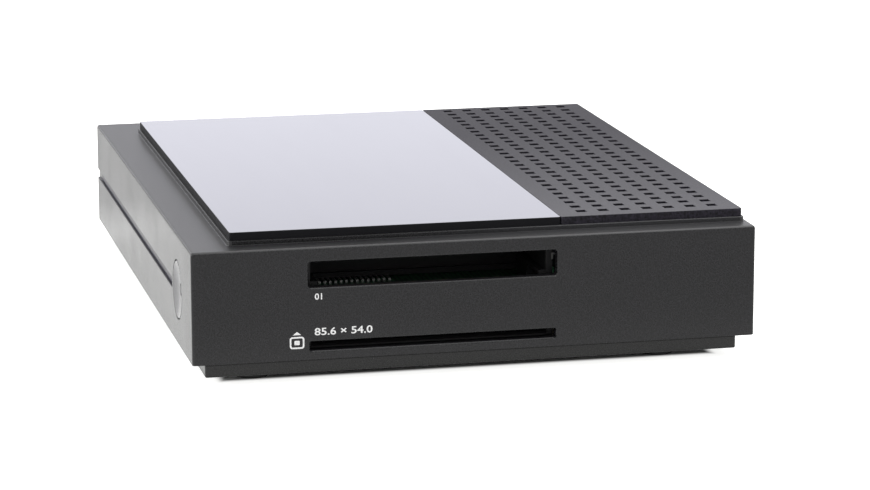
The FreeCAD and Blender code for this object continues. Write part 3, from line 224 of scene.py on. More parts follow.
def ranged(tree, value, source, target=(0.0, 1.0), smooth=False):
    """A value moved from one range to another, and held at its ends."""
    node = tree.nodes.new("ShaderNodeMapRange")
    if smooth:
        node.interpolation_type = "SMOOTHSTEP"
    node.inputs["From Min"].default_value, node.inputs["From Max"].default_value = source
    node.inputs["To Min"].default_value, node.inputs["To Max"].default_value = target
    tree.links.new(value, node.inputs["Value"])
    return node.outputs["Result"]


def spread(material, value, low, high):
    """The middle of a noise value, stretched between two numbers."""
    return ranged(material.node_tree, value, NOISE_MIDDLE, (low, high))


def blend(material, factor, first, second):
    """A number that goes from the first value to the second as the factor rises from 0 to 1."""
    tree = material.node_tree
    mix = tree.nodes.new("ShaderNodeMix")
    for socket, value in (("A", first), ("B", second)):
        if isinstance(value, float):
            mix.inputs[socket].default_value = value
        else:
            tree.links.new(value, mix.inputs[socket])
    tree.links.new(factor, mix.inputs["Factor"])
    return mix.outputs["Result"]


def facing_up(material, low, high):
    """1 on faces that look up and 0 on upright ones, with a ramp between two values of the normal's Z."""
    tree = material.node_tree
    geometry = tree.nodes.new("ShaderNodeNewGeometry")
    axes = tree.nodes.new("ShaderNodeSeparateXYZ")
    tree.links.new(geometry.outputs["True Normal"], axes.inputs["Vector"])
    return ranged(tree, axes.outputs["Z"], (low, high))


def bump(material, height, depth):
    """Bump on the shader, from a height between 0 and 1 and a depth in millimetres."""
    tree = material.node_tree
    node = tree.nodes.new("ShaderNodeBump")
    node.inputs["Strength"].default_value = 1.0
    node.inputs["Distance"].default_value = depth * MM
    tree.links.new(height, node.inputs["Height"])
    tree.links.new(node.outputs["Normal"], bsdf_of(material).inputs["Normal"])


def tint(material, value, dark, light):
    """Base colour that drifts between two colours with a value."""
    tree = material.node_tree
    mix = tree.nodes.new("ShaderNodeMix")
    mix.data_type = "RGBA"
    mix.inputs["A"].default_value = (*dark, 1.0)
    mix.inputs["B"].default_value = (*light, 1.0)
    tree.links.new(value, mix.inputs["Factor"])
    tree.links.new(mix.outputs["Result"], bsdf_of(material).inputs["Base Color"])


def set_roughness(material, value):
    material.node_tree.links.new(value, bsdf_of(material).inputs["Roughness"])


def vary_roughness(material, value, low, high):
    set_roughness(material, spread(material, value, low, high))


def dim_reflections_where(material, open_to_light, level):
    """Reflections lose strength, down to a level, as a value falls from 1 to 0: painted shade."""
    tree = material.node_tree
    mix = tree.nodes.new("ShaderNodeMix")
    mix.data_type = "RGBA"
    mix.inputs["A"].default_value = (level, level, level, 1.0)
    mix.inputs["B"].default_value = (1.0, 1.0, 1.0, 1.0)
    tree.links.new(open_to_light, mix.inputs["Factor"])
    tree.links.new(mix.outputs["Result"], bsdf_of(material).inputs["Specular Tint"])


def paint_rim_highlight(material):
    """Painted highlight: the step under the top panels is a little paler above the card slots, to the rear.
    """
    tree = material.node_tree
    bsdf = bsdf_of(material)
    axes = places(tree)
    beyond = number(tree, "GREATER_THAN", axes["X"], RIM_START * MM)
    low, high = [
        number(tree, "MULTIPLY", number(tree, "GREATER_THAN", axes["Z"], z * MM), wear)
        for z, wear in zip(RIM_LEVELS, RIM_HIGHLIGHT_SHARE)
    ]
    fade = ranged(tree, axes["Y"], scaled(RIM_FADE, MM))
    highlight = number(tree, "MULTIPLY", number(tree, "ADD", low, high), fade)
    mix = tree.nodes.new("ShaderNodeMix")
    mix.data_type = "RGBA"
    mix.inputs["B"].default_value = (*RIM_HIGHLIGHT_COLOUR, 1.0)
    tree.links.new(bsdf.inputs["Base Color"].links[0].from_socket, mix.inputs["A"])
    tree.links.new(number(tree, "MULTIPLY", beyond, highlight), mix.inputs["Factor"])
    tree.links.new(mix.outputs["Result"], bsdf.inputs["Base Color"])


def paint_seam_shade(material):
    """Painted shade: the top of the tray's sides, close under the cover's edge, reflects little."""
    tree = material.node_tree
    lower, upper = scaled(SEAM_PAINTED_SHADE, MM)
    dim_reflections_where(material, ranged(tree, places(tree)["Z"], (upper, lower)), SEAM_LEVEL)


# ---- Materials -----------------------------------------------------------------------------------------
def grained(name, colour, roughness, grain=3400, depth=0.02, contrast=0.25, **sockets):
    """Spark-eroded plastic: a fine even grain, with slight drift in colour."""
    material = shader(name, colour, roughness, **sockets)
    fine = object_noise(material, grain, 3.0)
    bump(material, fine, depth)
    dark, light = scaled(colour, 1 - contrast), scaled(colour, 1 + contrast)
    tint(material, spread(material, fine, 0.0, 1.0), dark, light)
    return material


def moulded_plastic(name, colour, roughness, **settings):
    """Grained plastic with slight drift in sheen too."""
    material = grained(name, colour, roughness, **settings)
    vary_roughness(material, object_noise(material, SHEEN_SCALE), roughness - 0.03, roughness + 0.03)
    return material


def case_moulding(name, colour, top_roughness, side_roughness, **sockets):
    """Grained plastic whose upper faces are duller than its upright ones."""
    material = grained(name, colour, side_roughness, grain=2900, depth=0.03, contrast=0.85, **sockets)
    # painted highlight on the step under the top panels
    paint_rim_highlight(material)
    low, high = side_roughness - 0.02, side_roughness + 0.02
    drift = spread(material, object_noise(material, SHEEN_SCALE), low, high)
    set_roughness(material, blend(material, facing_up(material, 0.6, 0.95), drift, top_roughness))
    return material


def grille_moulding(name, colour, roughness, **sockets):
    """Grained above, and duller at one end. Its outer edges and the walls of its holes reflect little:
    painted shade.
    """
    material = grained(name, colour, roughness, grain=2100, depth=0.05, contrast=0.8, **sockets)
    tree = material.node_tree
    ends = roughness + 0.20, roughness - 0.03
    set_roughness(material, ranged(tree, places(tree)["X"], scaled(GRILLE_SHEEN, MM), ends))
    # painted shade: the upright faces reflect half as much
    dim_reflections_where(material, facing_up(material, 0.1, 0.5), 0.5)
    return material


def polished(name, colour, **sockets):
    """Polished acrylic or lacquer, nearly flat, and the roughness that traces of wiping give it."""
    material = shader(name, colour, 0.05, **sockets)
    bump(material, object_noise(material, 45), RIPPLE)
    return material, spread(material, object_noise(material, 25, 4.0, (1, 6, 1)), 0.04, 0.08)


def polished_plastic(name, colour, **sockets):
    """Polished all over."""
    material, wiped = polished(name, colour, **sockets)
    set_roughness(material, wiped)
    return material


def polished_top(name, colour, **sockets):
    """Polished above, with sawn edges: those are matt, and reflect little, which is painted shade."""
    material, wiped = polished(name, colour, **sockets)
    up = facing_up(material, 0.1, 0.5)
    set_roughness(material, blend(material, up, 0.6, wiped))
    # painted shade: the sawn edges reflect a fifth as much
    dim_reflections_where(material, up, 0.2)
    return material


def window_plastic(name, colour, **sockets):
    """Dark filter plastic with a satin face, as over a receiver for a remote control."""
    material = shader(name, colour, 0.16, **sockets)
    bump(material, object_noise(material, 240), RIPPLE)
    vary_roughness(material, object_noise(material, 40, 3.0, (1, 5, 1)), 0.14, 0.19)
    return material


def metal(name, colour, roughness, stretch=(1, 1, 1), **sockets):
    """Drawn or plated metal, brushed along the axis whose stretch is least."""
    material = shader(name, colour, roughness, Metallic=1.0, **sockets)
    bump(material, object_noise(material, 900, 3.0, stretch), RIPPLE)
    vary_roughness(material, object_noise(material, 220, 2.0, stretch), roughness * 0.8, roughness * 1.25)
    return material


def circuit_board(name, mask, copper):
    """Solder mask over copper: straight tracks show as slightly lighter, raised bands."""
    material = shader(name, mask, 0.32, Specular_IOR_Level=0.5)
    tree = material.node_tree
    coordinate = tree.nodes.new("ShaderNodeTexCoord")
    bricks = tree.nodes.new("ShaderNodeTexBrick")
    bricks.inputs["Scale"].default_value = 260.0
    bricks.inputs["Mortar Size"].default_value = 0.09
    bricks.inputs["Brick Width"].default_value = 3.1
    bricks.inputs["Row Height"].default_value = 0.32
    tree.links.new(coordinate.outputs["Object"], bricks.inputs["Vector"])
    tint(material, bricks.outputs["Fac"], mask, copper)
    bump(material, bricks.outputs["Fac"], 0.03)
    return material


def powder_coat(name, colour):
    """Powder paint with its orange-peel surface."""
    material = shader(name, colour, 0.42)
    bump(material, object_noise(material, 1100), 0.05)
    vary_roughness(material, object_noise(material, 70), 0.38, 0.48)
    return material


def rubber(name, colour):
    """Matt rubber or foam, a little uneven in colour."""
    material = shader(name, colour, 0.75)
    bump(material, object_noise(material, 2200, 3.0), 0.03)
    tint(material, object_noise(material, 300), scaled(colour, 0.8), scaled(colour, 1.3))
    return material


def print_ink(name, colour, roughness, **sockets):
    """Pad-printed ink, a little uneven in cover and sheen."""
    material = shader(name, colour, roughness, **sockets)
    cover = object_noise(material, 2600, 3.0)
    tint(material, spread(material, cover, 0.0, 1.0), scaled(colour, 0.9), scaled(colour, 1.04))
    vary_roughness(material, cover, roughness - 0.05, roughness + 0.08)
    return material


def make_materials():
    """One material for each slot of the record."""
    made = (
        case_moulding("case_plastic", (0.0085, 0.0083, 0.0095), 0.39, 0.22, IOR=1.43),
        case_moulding("base_plastic", (0.0090, 0.0090, 0.0090), 0.44, 0.22, IOR=1.43),
        polished_top("gloss_black", (0.008, 0.008, 0.0095), IOR=1.5),
        grille_moulding("grille_plastic", (0.0140, 0.0122, 0.0185), 0.51, IOR=1.43),
        powder_coat("panel_steel", (0.028, 0.028, 0.030)),
        rubber("foot_rubber", (0.018, 0.018, 0.018)),
        window_plastic("ir_acrylic", (0.030, 0.027, 0.042), IOR=1.09),
        moulded_plastic("button_plastic", (0.14, 0.14, 0.145), 0.22, grain=5200, depth=0.006, IOR=1.6),
        circuit_board("board_green", (0.012, 0.075, 0.032), (0.030, 0.14, 0.060)),
        moulded_plastic("connector_black", (0.012, 0.012, 0.013), 0.55, grain=4200, depth=0.01, IOR=1.4),
        moulded_plastic("chip_epoxy", (0.024, 0.024, 0.026), 0.5, grain=5200, depth=0.01),
        rubber("pad_grey", (0.34, 0.35, 0.37)),
        metal("sink_aluminium", (0.72, 0.73, 0.75), 0.38, (1, 14, 14)),
        moulded_plastic("capacitor_sleeve", (0.016, 0.016, 0.022), 0.25, grain=900, depth=0.004),
        moulded_plastic("coil_ferrite", (0.080, 0.080, 0.085), 0.6, grain=2600, depth=0.03),
        metal("plated_steel", (0.62, 0.62, 0.60), 0.34, (1, 1, 9)),
        metal("nickel_plate", (0.74, 0.73, 0.70), 0.18),
        moulded_plastic("white_insulator", (0.78, 0.77, 0.73), 0.4, depth=0.006),
        metal("gold_contact", (0.86, 0.62, 0.26), 0.22),
        polished_plastic("lamp_clear", (0.70, 0.76, 0.82), Transmission_Weight=0.6),
        metal("screw_steel", (0.10, 0.10, 0.11), 0.35),
        metal("spacer_brass", (0.72, 0.55, 0.26), 0.3),
        polished_plastic("rocker_gloss", (0.014, 0.014, 0.015)),
    )
    materials = {material.name: material for material in made}
    # painted shade along the top of the tray's sides, under the cover's edge
    paint_seam_shade(materials["base_plastic"])
    return materials


def dress_nodes(materials):
    """Gives every CAD node the material of its slot in the record."""
    for part in frame["record"]["subparts"]:
        node = nodes[part["node"]]
        for slot in node.material_slots:
            slot.material = materials[part["material_slot"]]


# ---- Edges ---------------------------------------------------------------------------------------------
def soften(name, width, segments, gives_way):
    """Small rounded edges on a CAD node, by modifiers alone."""
    node = nodes[name]
    weld = node.modifiers.new("weld", "WELD")
    weld.merge_threshold = EDGE_WELD * MM
    flat = node.modifiers.new("flat", "DECIMATE")
    flat.decimate_type = "DISSOLVE"
    flat.angle_limit = math.radians(FLAT_ANGLE)
    bevel = node.modifiers.new("edges", "BEVEL")
    bevel.width = width * MM
    bevel.segments = segments
    bevel.limit_method = "ANGLE"
    bevel.angle_limit = math.radians(EDGE_ANGLE)
    bevel.use_clamp_overlap = gives_way
    bevel.harden_normals = False
    weighted = node.modifiers.new("normals", "WEIGHTED_NORMAL")
    weighted.keep_sharp = True


# ---- Shapes --------------------------------------------------------------------------------------------
def add_piece(name, mesh, material, body="housing"):
    """Object made of a mesh in the row frame, riding on a body."""
    mesh.materials.clear()
    mesh.materials.append(material)
    piece = bpy.data.objects.new(name, mesh)
    bpy.context.scene.collection.objects.link(piece)
    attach(piece, body)
    return piece


def finished(bm, name, smooth_below=SMOOTH_BELOW):
    """Mesh of a bmesh, with its seams welded and its curved faces smooth."""
    bmesh.ops.remove_doubles(bm, verts=bm.verts, dist=PIECE_WELD * MM)
    bmesh.ops.recalc_face_normals(bm, faces=bm.faces)
    for edge in bm.edges:
        edge.smooth = edge.is_manifold and edge.calc_face_angle(0.0) < math.radians(smooth_below)
    for face in bm.faces:
        face.smooth = True
    mesh = bpy.data.meshes.new(name)
    bm.to_mesh(mesh)
    bm.free()
    return mesh


def flat_mesh(name, curve):
    """Mesh of a flat curve or text, as thick as print, in the curve's own X and Y."""
    curve.dimensions = "2D"
    curve.fill_mode = "BOTH"
    curve.extrude = PRINT_T / 2
    drawn = bpy.data.objects.new(name, curve)
    bpy.context.scene.collection.objects.link(drawn)
    bpy.context.view_layer.update()
    mesh = bpy.data.meshes.new_from_object(drawn.evaluated_get(bpy.context.evaluated_depsgraph_get()))
    mesh.name = name
    bpy.data.objects.remove(drawn)
    return mesh


def on_side(mesh, x):
    """Turns a flat mesh, drawn in Y and Z in millimetres, onto an upright face that looks along +X."""
    for vertex in mesh.vertices:
        y, z, out = vertex.co
        vertex.co = Vector((x / MM + out + PRINT_T / 2 - PRINT_SINK, y, z)) * MM
    return mesh


def fitted(mesh, low, high):
    """Stretches a flat mesh to fill a rectangle."""
    for axis in (0, 1):
        values = [vertex.co[axis] for vertex in mesh.vertices]
        start, size = min(values), max(values) - min(values)
        for vertex in mesh.vertices:
            vertex.co[axis] = low[axis] + (vertex.co[axis] - start) / size * (high[axis] - low[axis])
    return mesh


def text_curve(text):
    curve = bpy.data.curves.new("numeral", "FONT")
    curve.body = text
    curve.size = TEXT_SIZE
    curve.offset = TEXT_WEIGHT
    curve.resolution_u = 3
    return curve


def outline_curve(loops):
    """Flat curve from closed loops of points: a loop inside another is a hole."""
    curve = bpy.data.curves.new("outline", "CURVE")
    for points in loops:
        spline = curve.splines.new("POLY")
        spline.points.add(len(points) - 1)
        for point, (x, y) in zip(spline.points, points):
            point.co = (x, y, 0.0, 1.0)
        spline.use_cyclic_u = True
    return curve


def rounded_loop(x0, x1, y0, y1, radius, steps=5):
    """Points round a rectangle with rounded corners."""
    points = []
    corners = (
        (x1 - radius, y1 - radius, 0),
        (x0 + radius, y1 - radius, 90),
        (x0 + radius, y0 + radius, 180),
        (x1 - radius, y0 + radius, 270),
    )
    for x, y, start in corners:
        for i in range(steps + 1):
            angle = math.radians(start + 90 * i / steps)
            points.append((x + radius * math.cos(angle), y + radius * math.sin(angle)))
    return points


def card_mark():
    """Pictogram: a card with its chip, under an arrow that points into the slot's side."""
    y, z = CARD_MARK
    half, line = CARD_MARK_W / 2, CARD_MARK_LINE
    outer_r, inner_r, chip_r = CARD_CORNER_R
    chip_w, chip_h = CARD_CHIP
    arrow_w, arrow_h = CARD_ARROW
    top = z + CARD_MARK_H
    chip_z = z + (CARD_MARK_H - chip_h) / 2
    arrow_z = top + CARD_ARROW_GAP
    loops = [
        rounded_loop(y - half, y + half, z, top, outer_r),
        rounded_loop(y - half + line, y + half - line, z + line, top - line, inner_r),
        rounded_loop(y - chip_w / 2, y + chip_w / 2, chip_z, chip_z + chip_h, chip_r),
        [(y - arrow_w / 2, arrow_z), (y + arrow_w / 2, arrow_z), (y, arrow_z + arrow_h)],
    ]
    return flat_mesh("card_mark", outline_curve(loops))


def make_side_marks(ink):
    """Plain numbers and a pictogram, printed beside the two slots."""
    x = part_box("top_cover")[1].x
    for name, (text, low, high) in (("upper_numeral", UPPER_NUMERAL), ("lower_numeral", LOWER_NUMERAL)):
        mesh = on_side(fitted(flat_mesh(name, text_curve(text)), low, high), x)
        add_piece(name, mesh, ink)
    add_piece("card_mark", on_side(card_mark(), x), ink)


def sheet_on_dish(bm, middle, rows):
    """Thin print that follows the button's dish. Rows hold (x, z) points from its middle, in mm."""
    ball = (BUTTON_DISH_R**2 + BUTTON_DISH**2) / (2 * BUTTON_DISH)
    layers = []
    for out in (PRINT_T - PRINT_SINK, -PRINT_SINK):
        layer = []
        for row in rows:
            line = []
            for x, z in row:
                y = -(ball - BUTTON_DISH) + math.sqrt(ball**2 - x * x - z * z) - out
                line.append(bm.verts.new(middle + Vector((x, y, z)) * MM))
            layer.append(line)
        layers.append(layer)
    front, back = layers
    last_row, last = len(rows) - 1, len(rows[0]) - 1
    for i in range(last_row):
        for j in range(last):
            bm.faces.new((front[i][j], front[i][j + 1], front[i + 1][j + 1], front[i + 1][j]))
            bm.faces.new((back[i][j], back[i + 1][j], back[i + 1][j + 1], back[i][j + 1]))
        for j in (0, last):
            bm.faces.new((front[i][j], front[i + 1][j], back[i + 1][j], back[i][j]))
    for j in range(last):
        for i in (0, last_row):
            bm.faces.new((front[i][j], back[i][j], back[i][j + 1], front[i][j + 1]))


def make_power_mark(ink):
    """Ring and bar in the dish of the button."""
    low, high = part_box("power_button")
    middle = Vector(((low.x + high.x) / 2, low.y, (low.z + high.z) / 2))
    bm = bmesh.new()
    inner, outer = POWER_MARK_R - POWER_MARK_LINE, POWER_MARK_R
    radii = (inner, (inner + outer) / 2, outer)
    sweep = 360 - 2 * POWER_MARK_OPEN
    ring = []
    for i in range(POWER_RING_STEPS + 1):
        angle = math.radians(90 + POWER_MARK_OPEN + sweep * i / POWER_RING_STEPS)
        ring.append([(r * math.cos(angle), r * math.sin(angle)) for r in radii])
    sheet_on_dish(bm, middle, ring)
    start, end = POWER_MARK_BAR
    half = POWER_MARK_LINE / 2
    bar = [
        [(x, start + (end - start) * i / POWER_BAR_STEPS) for x in (-half, 0.0, half)]
        for i in range(POWER_BAR_STEPS + 1)
    ]
    sheet_on_dish(bm, middle, bar)
    add_piece("power_mark", finished(bm, "power_mark"), ink, "power_button")


def rocker_face(side):
    """Middle and outward direction of one half of the rear rocker's face. The side, 1 or -1, is the sign of
    that direction's Z."""
    mesh = nodes["switch_rocker"].data
    low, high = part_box("switch_rocker")
    outward = [f for f in mesh.polygons if f.normal.y > ROCKER_OUTWARD and f.normal.z * side > 0]
    face = max(outward, key=lambda f: f.area)
    level = [f for f in mesh.polygons if (f.normal - face.normal).length < ROCKER_LEVEL]
    heights = [mesh.vertices[i].co.z for f in level for i in f.vertices]
    out, on_face = face.normal.copy(), mesh.vertices[face.vertices[0]].co
    middle = Vector(((low.x + high.x) / 2, 0.0, (min(heights) + max(heights)) / 2))
    middle.y = (out.dot(on_face) - out.z * middle.z) / out.y
    return middle, out


def make_rocker_marks(ink):
    """Bar on one half of the rear rocker's face and ring on the other."""
    wide, tall = ROCKER_BAR
    bar = [[(-wide / 2, -tall / 2), (wide / 2, -tall / 2), (wide / 2, tall / 2), (-wide / 2, tall / 2)]]
    angles = [math.radians(degrees) for degrees in range(0, 360, ROCKER_RING_STEP)]
    radii = (ROCKER_RING_R, ROCKER_RING_R - wide)
    ring = [[(r * math.cos(a), r * math.sin(a)) for a in angles] for r in radii]
    for name, loops, side in (("rocker_bar", bar, -1), ("rocker_ring", ring, 1)):
        middle, out = rocker_face(side)
        up = out.cross(Vector((1, 0, 0)))
        mesh = flat_mesh(name, outline_curve(loops))
        for vertex in mesh.vertices:
            x, z, lift = vertex.co
            lift = lift + PRINT_T / 2 - PRINT_SINK
            vertex.co = middle + (Vector((x, 0, 0)) + up * z + out * lift) * MM
        add_piece(name, mesh, ink, "rear_rocker")


def turned(bm, place, axis, profile, steps, shift=None):
    """Body of revolution about an axis through a place. The profile is (radius, distance) in millimetres,
    from end to end, and shift(angle, distance) is taken off each radius."""
    axis = Vector(axis)
    across = Vector((1, 0, 0))
    up = axis.cross(across)
    rings = []
    for radius, along in profile:
        if radius == 0:
            rings.append([bm.verts.new(place + axis * along * MM)])
            continue
        ring = []
        for i in range(steps):
            angle = 2 * math.pi * i / steps
            r = radius - (shift(angle, along) if shift else 0.0)
            way = across * math.cos(angle) + up * math.sin(angle)
            ring.append(bm.verts.new(place + (axis * along + way * r) * MM))
        rings.append(ring)
    for first, second in zip(rings, rings[1:]):
        for i in range(steps):
            j = (i + 1) % steps
            if len(first) == 1:
                bm.faces.new((first[0], second[i], second[j]))
            elif len(second) == 1:
                bm.faces.new((first[i], first[j], second[0]))
            else:
                bm.faces.new((first[i], first[j], second[j], second[i]))


def helix(start, end, pitch, depth):
    """Function that gives the depth of a screw thread at an angle and a distance."""
    slope, root = THREAD_FORM
    fade = THREAD_RUNOUT * pitch

    def cut(angle, along):
        turn = (along / pitch - angle / (2 * math.pi)) % 1.0
        ridge = max(0.0, min(1.0, slope * abs(2 * turn - 1) - root))
        runout = max(0.0, min(1.0, (along - start) / fade, (end - along) / fade))
        return depth * (1 - ridge * runout)

    return cut


def make_aerials(material):
    """Both aerial sockets with their threads cut, in place of the plain ones."""
    rearward = (0, 1, 0)
    for name in ("aerial_input", "aerial_output"):
        low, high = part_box(name)
        place = Vector(((low.x + high.x) / 2, low.y, (low.z + high.z) / 2))
        outer = (high.x - low.x) / 2 / MM
        length = (high.y - low.y) / MM
        start = length - AERIAL_THREAD_L
        tip = length - AERIAL_TIP
        root_r = outer - THREAD_DEPTH
        rows = int((tip - start) / (THREAD_PITCH / THREAD_ROWS))
        thread = [(outer, start + (tip - start) * i / rows) for i in range(rows + 1)]
        bm = bmesh.new()
        turned(bm, place, rearward, thread, THREAD_STEPS, helix(start, tip, THREAD_PITCH, THREAD_DEPTH))
        rest = [
            (root_r, tip),
            (root_r - AERIAL_TIP_EDGE, length),
            (AERIAL_BORE_R + AERIAL_BORE_EDGE, length),
            (AERIAL_BORE_R, length - AERIAL_BORE_EDGE),
            (AERIAL_BORE_R, AERIAL_FLOOR),
            (0, AERIAL_FLOOR),
        ]
        turned(bm, place, rearward, rest, THREAD_STEPS)
        root = [(0, 0), (root_r, 0), (root_r, start)]
        turned(bm, place, rearward, root, THREAD_STEPS)
        mesh = finished(bm, name + "_threaded", THREAD_SMOOTH)
        piece = add_piece(name + "_threaded", mesh, material)
        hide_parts(name)


def make_guide_spring(material):
    """Leaf spring on the outer side of the module's guide, folded over the guide's end at the slot."""
    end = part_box("ci_card_guide")[1]
    x1, y0 = end.x / MM, end.y / MM
    outline = [
        (x1 - SPRING_L, y0),
        (x1, y0),
        (x1, y0 - SPRING_FOLD),
        (x1 + SPRING_T, y0 - SPRING_FOLD),
        (x1 + SPRING_T, y0 + SPRING_T / 2),
        (x1 + SPRING_T / 2, y0 + SPRING_T),
        (x1 - SPRING_L, y0 + SPRING_T),
    ]
    bm = bmesh.new()
    levels = [[bm.verts.new(Vector((x, y, z)) * MM) for x, y in outline] for z in SPRING_LEVEL]
    for i in range(len(outline)):
        j = (i + 1) % len(outline)
        bm.faces.new((levels[0][i], levels[0][j], levels[1][j], levels[1][i]))
    for level in levels:
        bm.faces.new(level)
    add_piece("guide_spring", finished(bm, "guide_spring"), material)


def screw_places(name):
    """Middle of each screw of a node, and the node's lower and upper ends."""
    groups = []
    for vertex in nodes[name].data.vertices:
        for group in groups:
            if (group[0].xy - vertex.co.xy).length < SCREW_APART * MM:
                group.append(vertex.co)
                break
        else:
            groups.append([vertex.co])
    middles = []
    for group in groups:
        xs, ys = [co.x for co in group], [co.y for co in group]
        middles.append(((min(xs) + max(xs)) / 2, (min(ys) + max(ys)) / 2))
    low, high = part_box(name)
    return sorted(middles), low.z, high.z


def cross_outline(arm, half):
    """Points round a cross, from the length of an arm and half its width."""
    quarter = ((half, half), (arm, half), (arm, -half))
    return [point for turn in range(4) for point in turned_points(quarter, -90.0 * turn)]


def turned_points(points, degrees):
    c, s = math.cos(math.radians(degrees)), math.sin(math.radians(degrees))
    return [(x * c - y * s, x * s + y * c) for x, y in points]


def crossed_top(bm, place, way, radius, height, twist):
    """Flat top of a screw's head with a cross recess in it."""
    def point(x, y, along):
        return bm.verts.new(place + Vector((x, y * way, along * way)) * MM)

    def closed(verts):
        return [bm.edges.new((a, b)) for a, b in zip(verts, verts[1:] + verts[:1])]

    round_steps = [2 * math.pi * i / SCREW_STEPS for i in range(SCREW_STEPS)]
    rim = [point(radius * math.cos(a), radius * math.sin(a), height) for a in round_steps]
    mouth_points = turned_points(cross_outline(CROSS_ARM, CROSS_HALF), twist)
    floor_points = turned_points(cross_outline(CROSS_ARM * CROSS_TAPER, CROSS_HALF * CROSS_NARROW), twist)
    mouth = [point(x, y, height) for x, y in mouth_points]
    floor = [point(x, y, height - CROSS_DEEP) for x, y in floor_points]
    bmesh.ops.triangle_fill(bm, use_beauty=True, use_dissolve=False, edges=closed(rim) + closed(mouth))
    for i in range(len(mouth)):
        j = (i + 1) % len(mouth)
        bm.faces.new((mouth[i], mouth[j], floor[j], floor[i]))
    bm.faces.new(floor)


def make_screws(name, way, material):
    """Screws of one node with a cross in each head, in place of the plain ones. Heads look up or down."""
    middles, low, high = screw_places(name)
    head_h = SCREW_HEAD[-1][1]
    seat = high - head_h * MM if way > 0 else low + head_h * MM
    length = (high - low) / MM - head_h
    bm = bmesh.new()
    for i, (x, y) in enumerate(middles):
        place = Vector((x, y, seat))
        profile = [(0, -length), (SCREW_R, -length), (SCREW_R, 0), *SCREW_HEAD]
        turned(bm, place, (0, 0, way), profile, SCREW_STEPS)
        crossed_top(bm, place, way, *SCREW_HEAD[-1], SCREW_TURN * (i + 1))
    piece = add_piece(name + "_crossed", finished(bm, name + "_crossed"), material)
    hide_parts(name)


# ---- Studio --------------------------------------------------------------------------------------------
def make_camera():
    azimuth = math.radians(CAMERA_AZIMUTH)
    drop = math.radians(CAMERA_DROP)
    forward = Vector(
        (-math.cos(azimuth) * math.cos(drop), math.sin(azimuth) * math.cos(drop), -math.sin(drop))
    )
    data = bpy.data.cameras.new("camera")
    data.sensor_fit = "HORIZONTAL"
    data.sensor_width = SENSOR
    data.lens = FOCAL_PIXELS / PICTURE_WIDTH * SENSOR
    data.clip_start = 0.05
    data.clip_end = 50.0
    camera = bpy.data.objects.new("camera", data)
    turn = forward.to_track_quat("-Z", "Y").to_matrix().to_4x4()
    roll = Matrix.Rotation(math.radians(CAMERA_ROLL), 4, "Z")
    camera.matrix_world = Matrix.Translation(CAMERA_PLACE) @ turn @ roll
    bpy.context.scene.collection.objects.link(camera)
    bpy.context.scene.camera = camera


def make_floor():
    """Plain pale floor. Outside the base's outline, the camera and reflections see extra white on it. Near
    the object reflections see more, a painted pool of light; inside the outline the real shadow shows, with
    a painted edge.
    """
    mesh = bpy.data.meshes.new("floor")
    h = FLOOR_HALF
    mesh.from_pydata([(-h, -h, 0), (h, -h, 0), (h, h, 0), (-h, h, 0)], [], [(0, 1, 2, 3)])
    floor = bpy.data.objects.new("floor", mesh)
    bpy.context.scene.collection.objects.link(floor)
    material = shader("floor_white", FLOOR_COLOUR, 0.9, Specular_IOR_Level=0.1)
    tree = material.node_tree
    path = tree.nodes.new("ShaderNodeLightPath")
    bsdf = bsdf_of(material)
    bsdf.inputs["Emission Color"].default_value = FLOOR_GLOW
    axes = places(tree)
    past = []
    for axis, middle, half in zip("XY", LIFT_MIDDLE, LIFT_HALF):
        away = number(tree, "ABSOLUTE", number(tree, "SUBTRACT", axes[axis], middle))
        past.append(number(tree, "SUBTRACT", away, half))
    distance = number(tree, "MAXIMUM", *past)
    # painted pool of light around the object, seen only in reflections
    mirror_pool = ranged(tree, distance, MIRROR_RAMP, MIRROR_PAINTED_LIGHT)
    for_camera = number(tree, "MULTIPLY", path.outputs["Is Camera Ray"], FLOOR_LIFT)
    for_mirror = number(tree, "MULTIPLY", path.outputs["Is Glossy Ray"], mirror_pool)
    # the extra white fades out just inside the base's outline, leaving the real shadow there with a painted
    # edge
    outside = ranged(tree, distance, PAINTED_SHADOW_RAMP, smooth=True)
    lift = number(tree, "MULTIPLY", number(tree, "ADD", for_camera, for_mirror), outside)
    tree.links.new(lift, bsdf.inputs["Emission Strength"])
    mesh.materials.append(material)


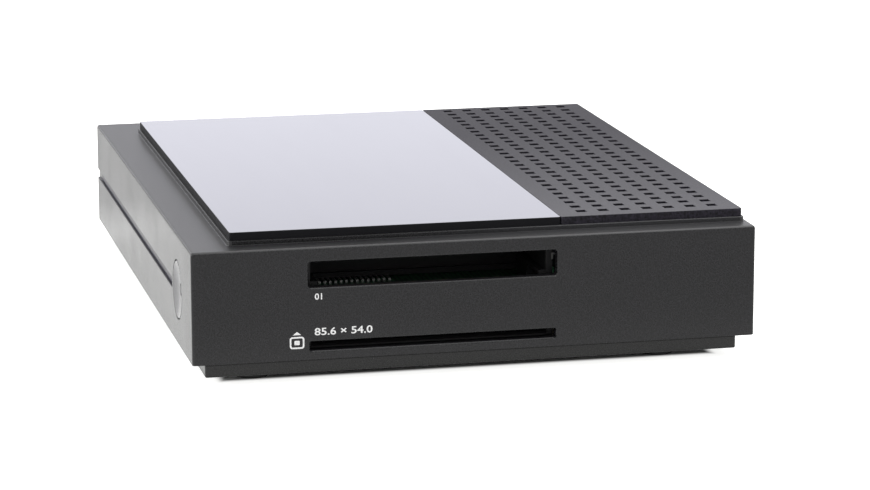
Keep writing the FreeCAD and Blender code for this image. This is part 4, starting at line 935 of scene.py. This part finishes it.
def softbox(name, place, width, height, radiance, colour):
    """Rectangular lamp of an even radiance, aimed at the object and out of the camera's own sight."""
    data = bpy.data.lights.new(name, "AREA")
    data.shape = "RECTANGLE"
    data.size = width
    data.size_y = height
    data.energy = radiance * math.pi * width * height
    data.color = colour
    lamp = bpy.data.objects.new(name, data)
    lamp.location = place
    lamp.rotation_mode = "QUATERNION"
    lamp.rotation_quaternion = (Vector(LAMP_AIM) - Vector(place)).to_track_quat("-Z", "Y")
    lamp.visible_camera = False
    bpy.context.scene.collection.objects.link(lamp)


def make_world():
    """White to the camera, in reflections and through clear parts. As a light it is dimmer, and dimmest
    behind the object."""
    world = bpy.data.worlds.new("studio")
    world.use_nodes = True
    bpy.context.scene.world = world
    tree = world.node_tree
    back = tree.nodes["Background"]
    back.inputs["Color"].default_value = (1, 1, 1, 1)
    level = ranged(tree, places(tree, "Generated")["X"], (1.0, -1.0), (WORLD_NEAR, WORLD_FAR))
    path = tree.nodes.new("ShaderNodeLightPath")
    direct = number(tree, "MAXIMUM", path.outputs["Is Camera Ray"], path.outputs["Is Transmission Ray"])
    white = number(tree, "MAXIMUM", direct, path.outputs["Is Glossy Ray"])
    strength = tree.nodes.new("ShaderNodeMix")
    strength.inputs["B"].default_value = 1.0
    tree.links.new(white, strength.inputs["Factor"])
    tree.links.new(level, strength.inputs["A"])
    tree.links.new(strength.outputs["Result"], back.inputs["Strength"])


# ---- The scene -----------------------------------------------------------------------------------------
make_camera()
make_world()
for lamp in LAMPS:
    softbox(*lamp)
make_floor()
materials = make_materials()
dress_nodes(materials)
for edges in SOFT_EDGES:
    soften(*edges)
white_print = print_ink("white_print", (0.86, 0.86, 0.86), 0.5)
make_side_marks(white_print)
make_rocker_marks(white_print)
make_power_mark(print_ink("dark_print", (0.012, 0.012, 0.014), 0.8, Specular_IOR_Level=0.0))
make_aerials(materials["nickel_plate"])
make_guide_spring(materials["plated_steel"])
make_screws("housing_screws", -1, materials["screw_steel"])
make_screws("board_screws", 1, materials["screw_steel"])
bpy.context.scene.view_settings.view_transform = "Standard"
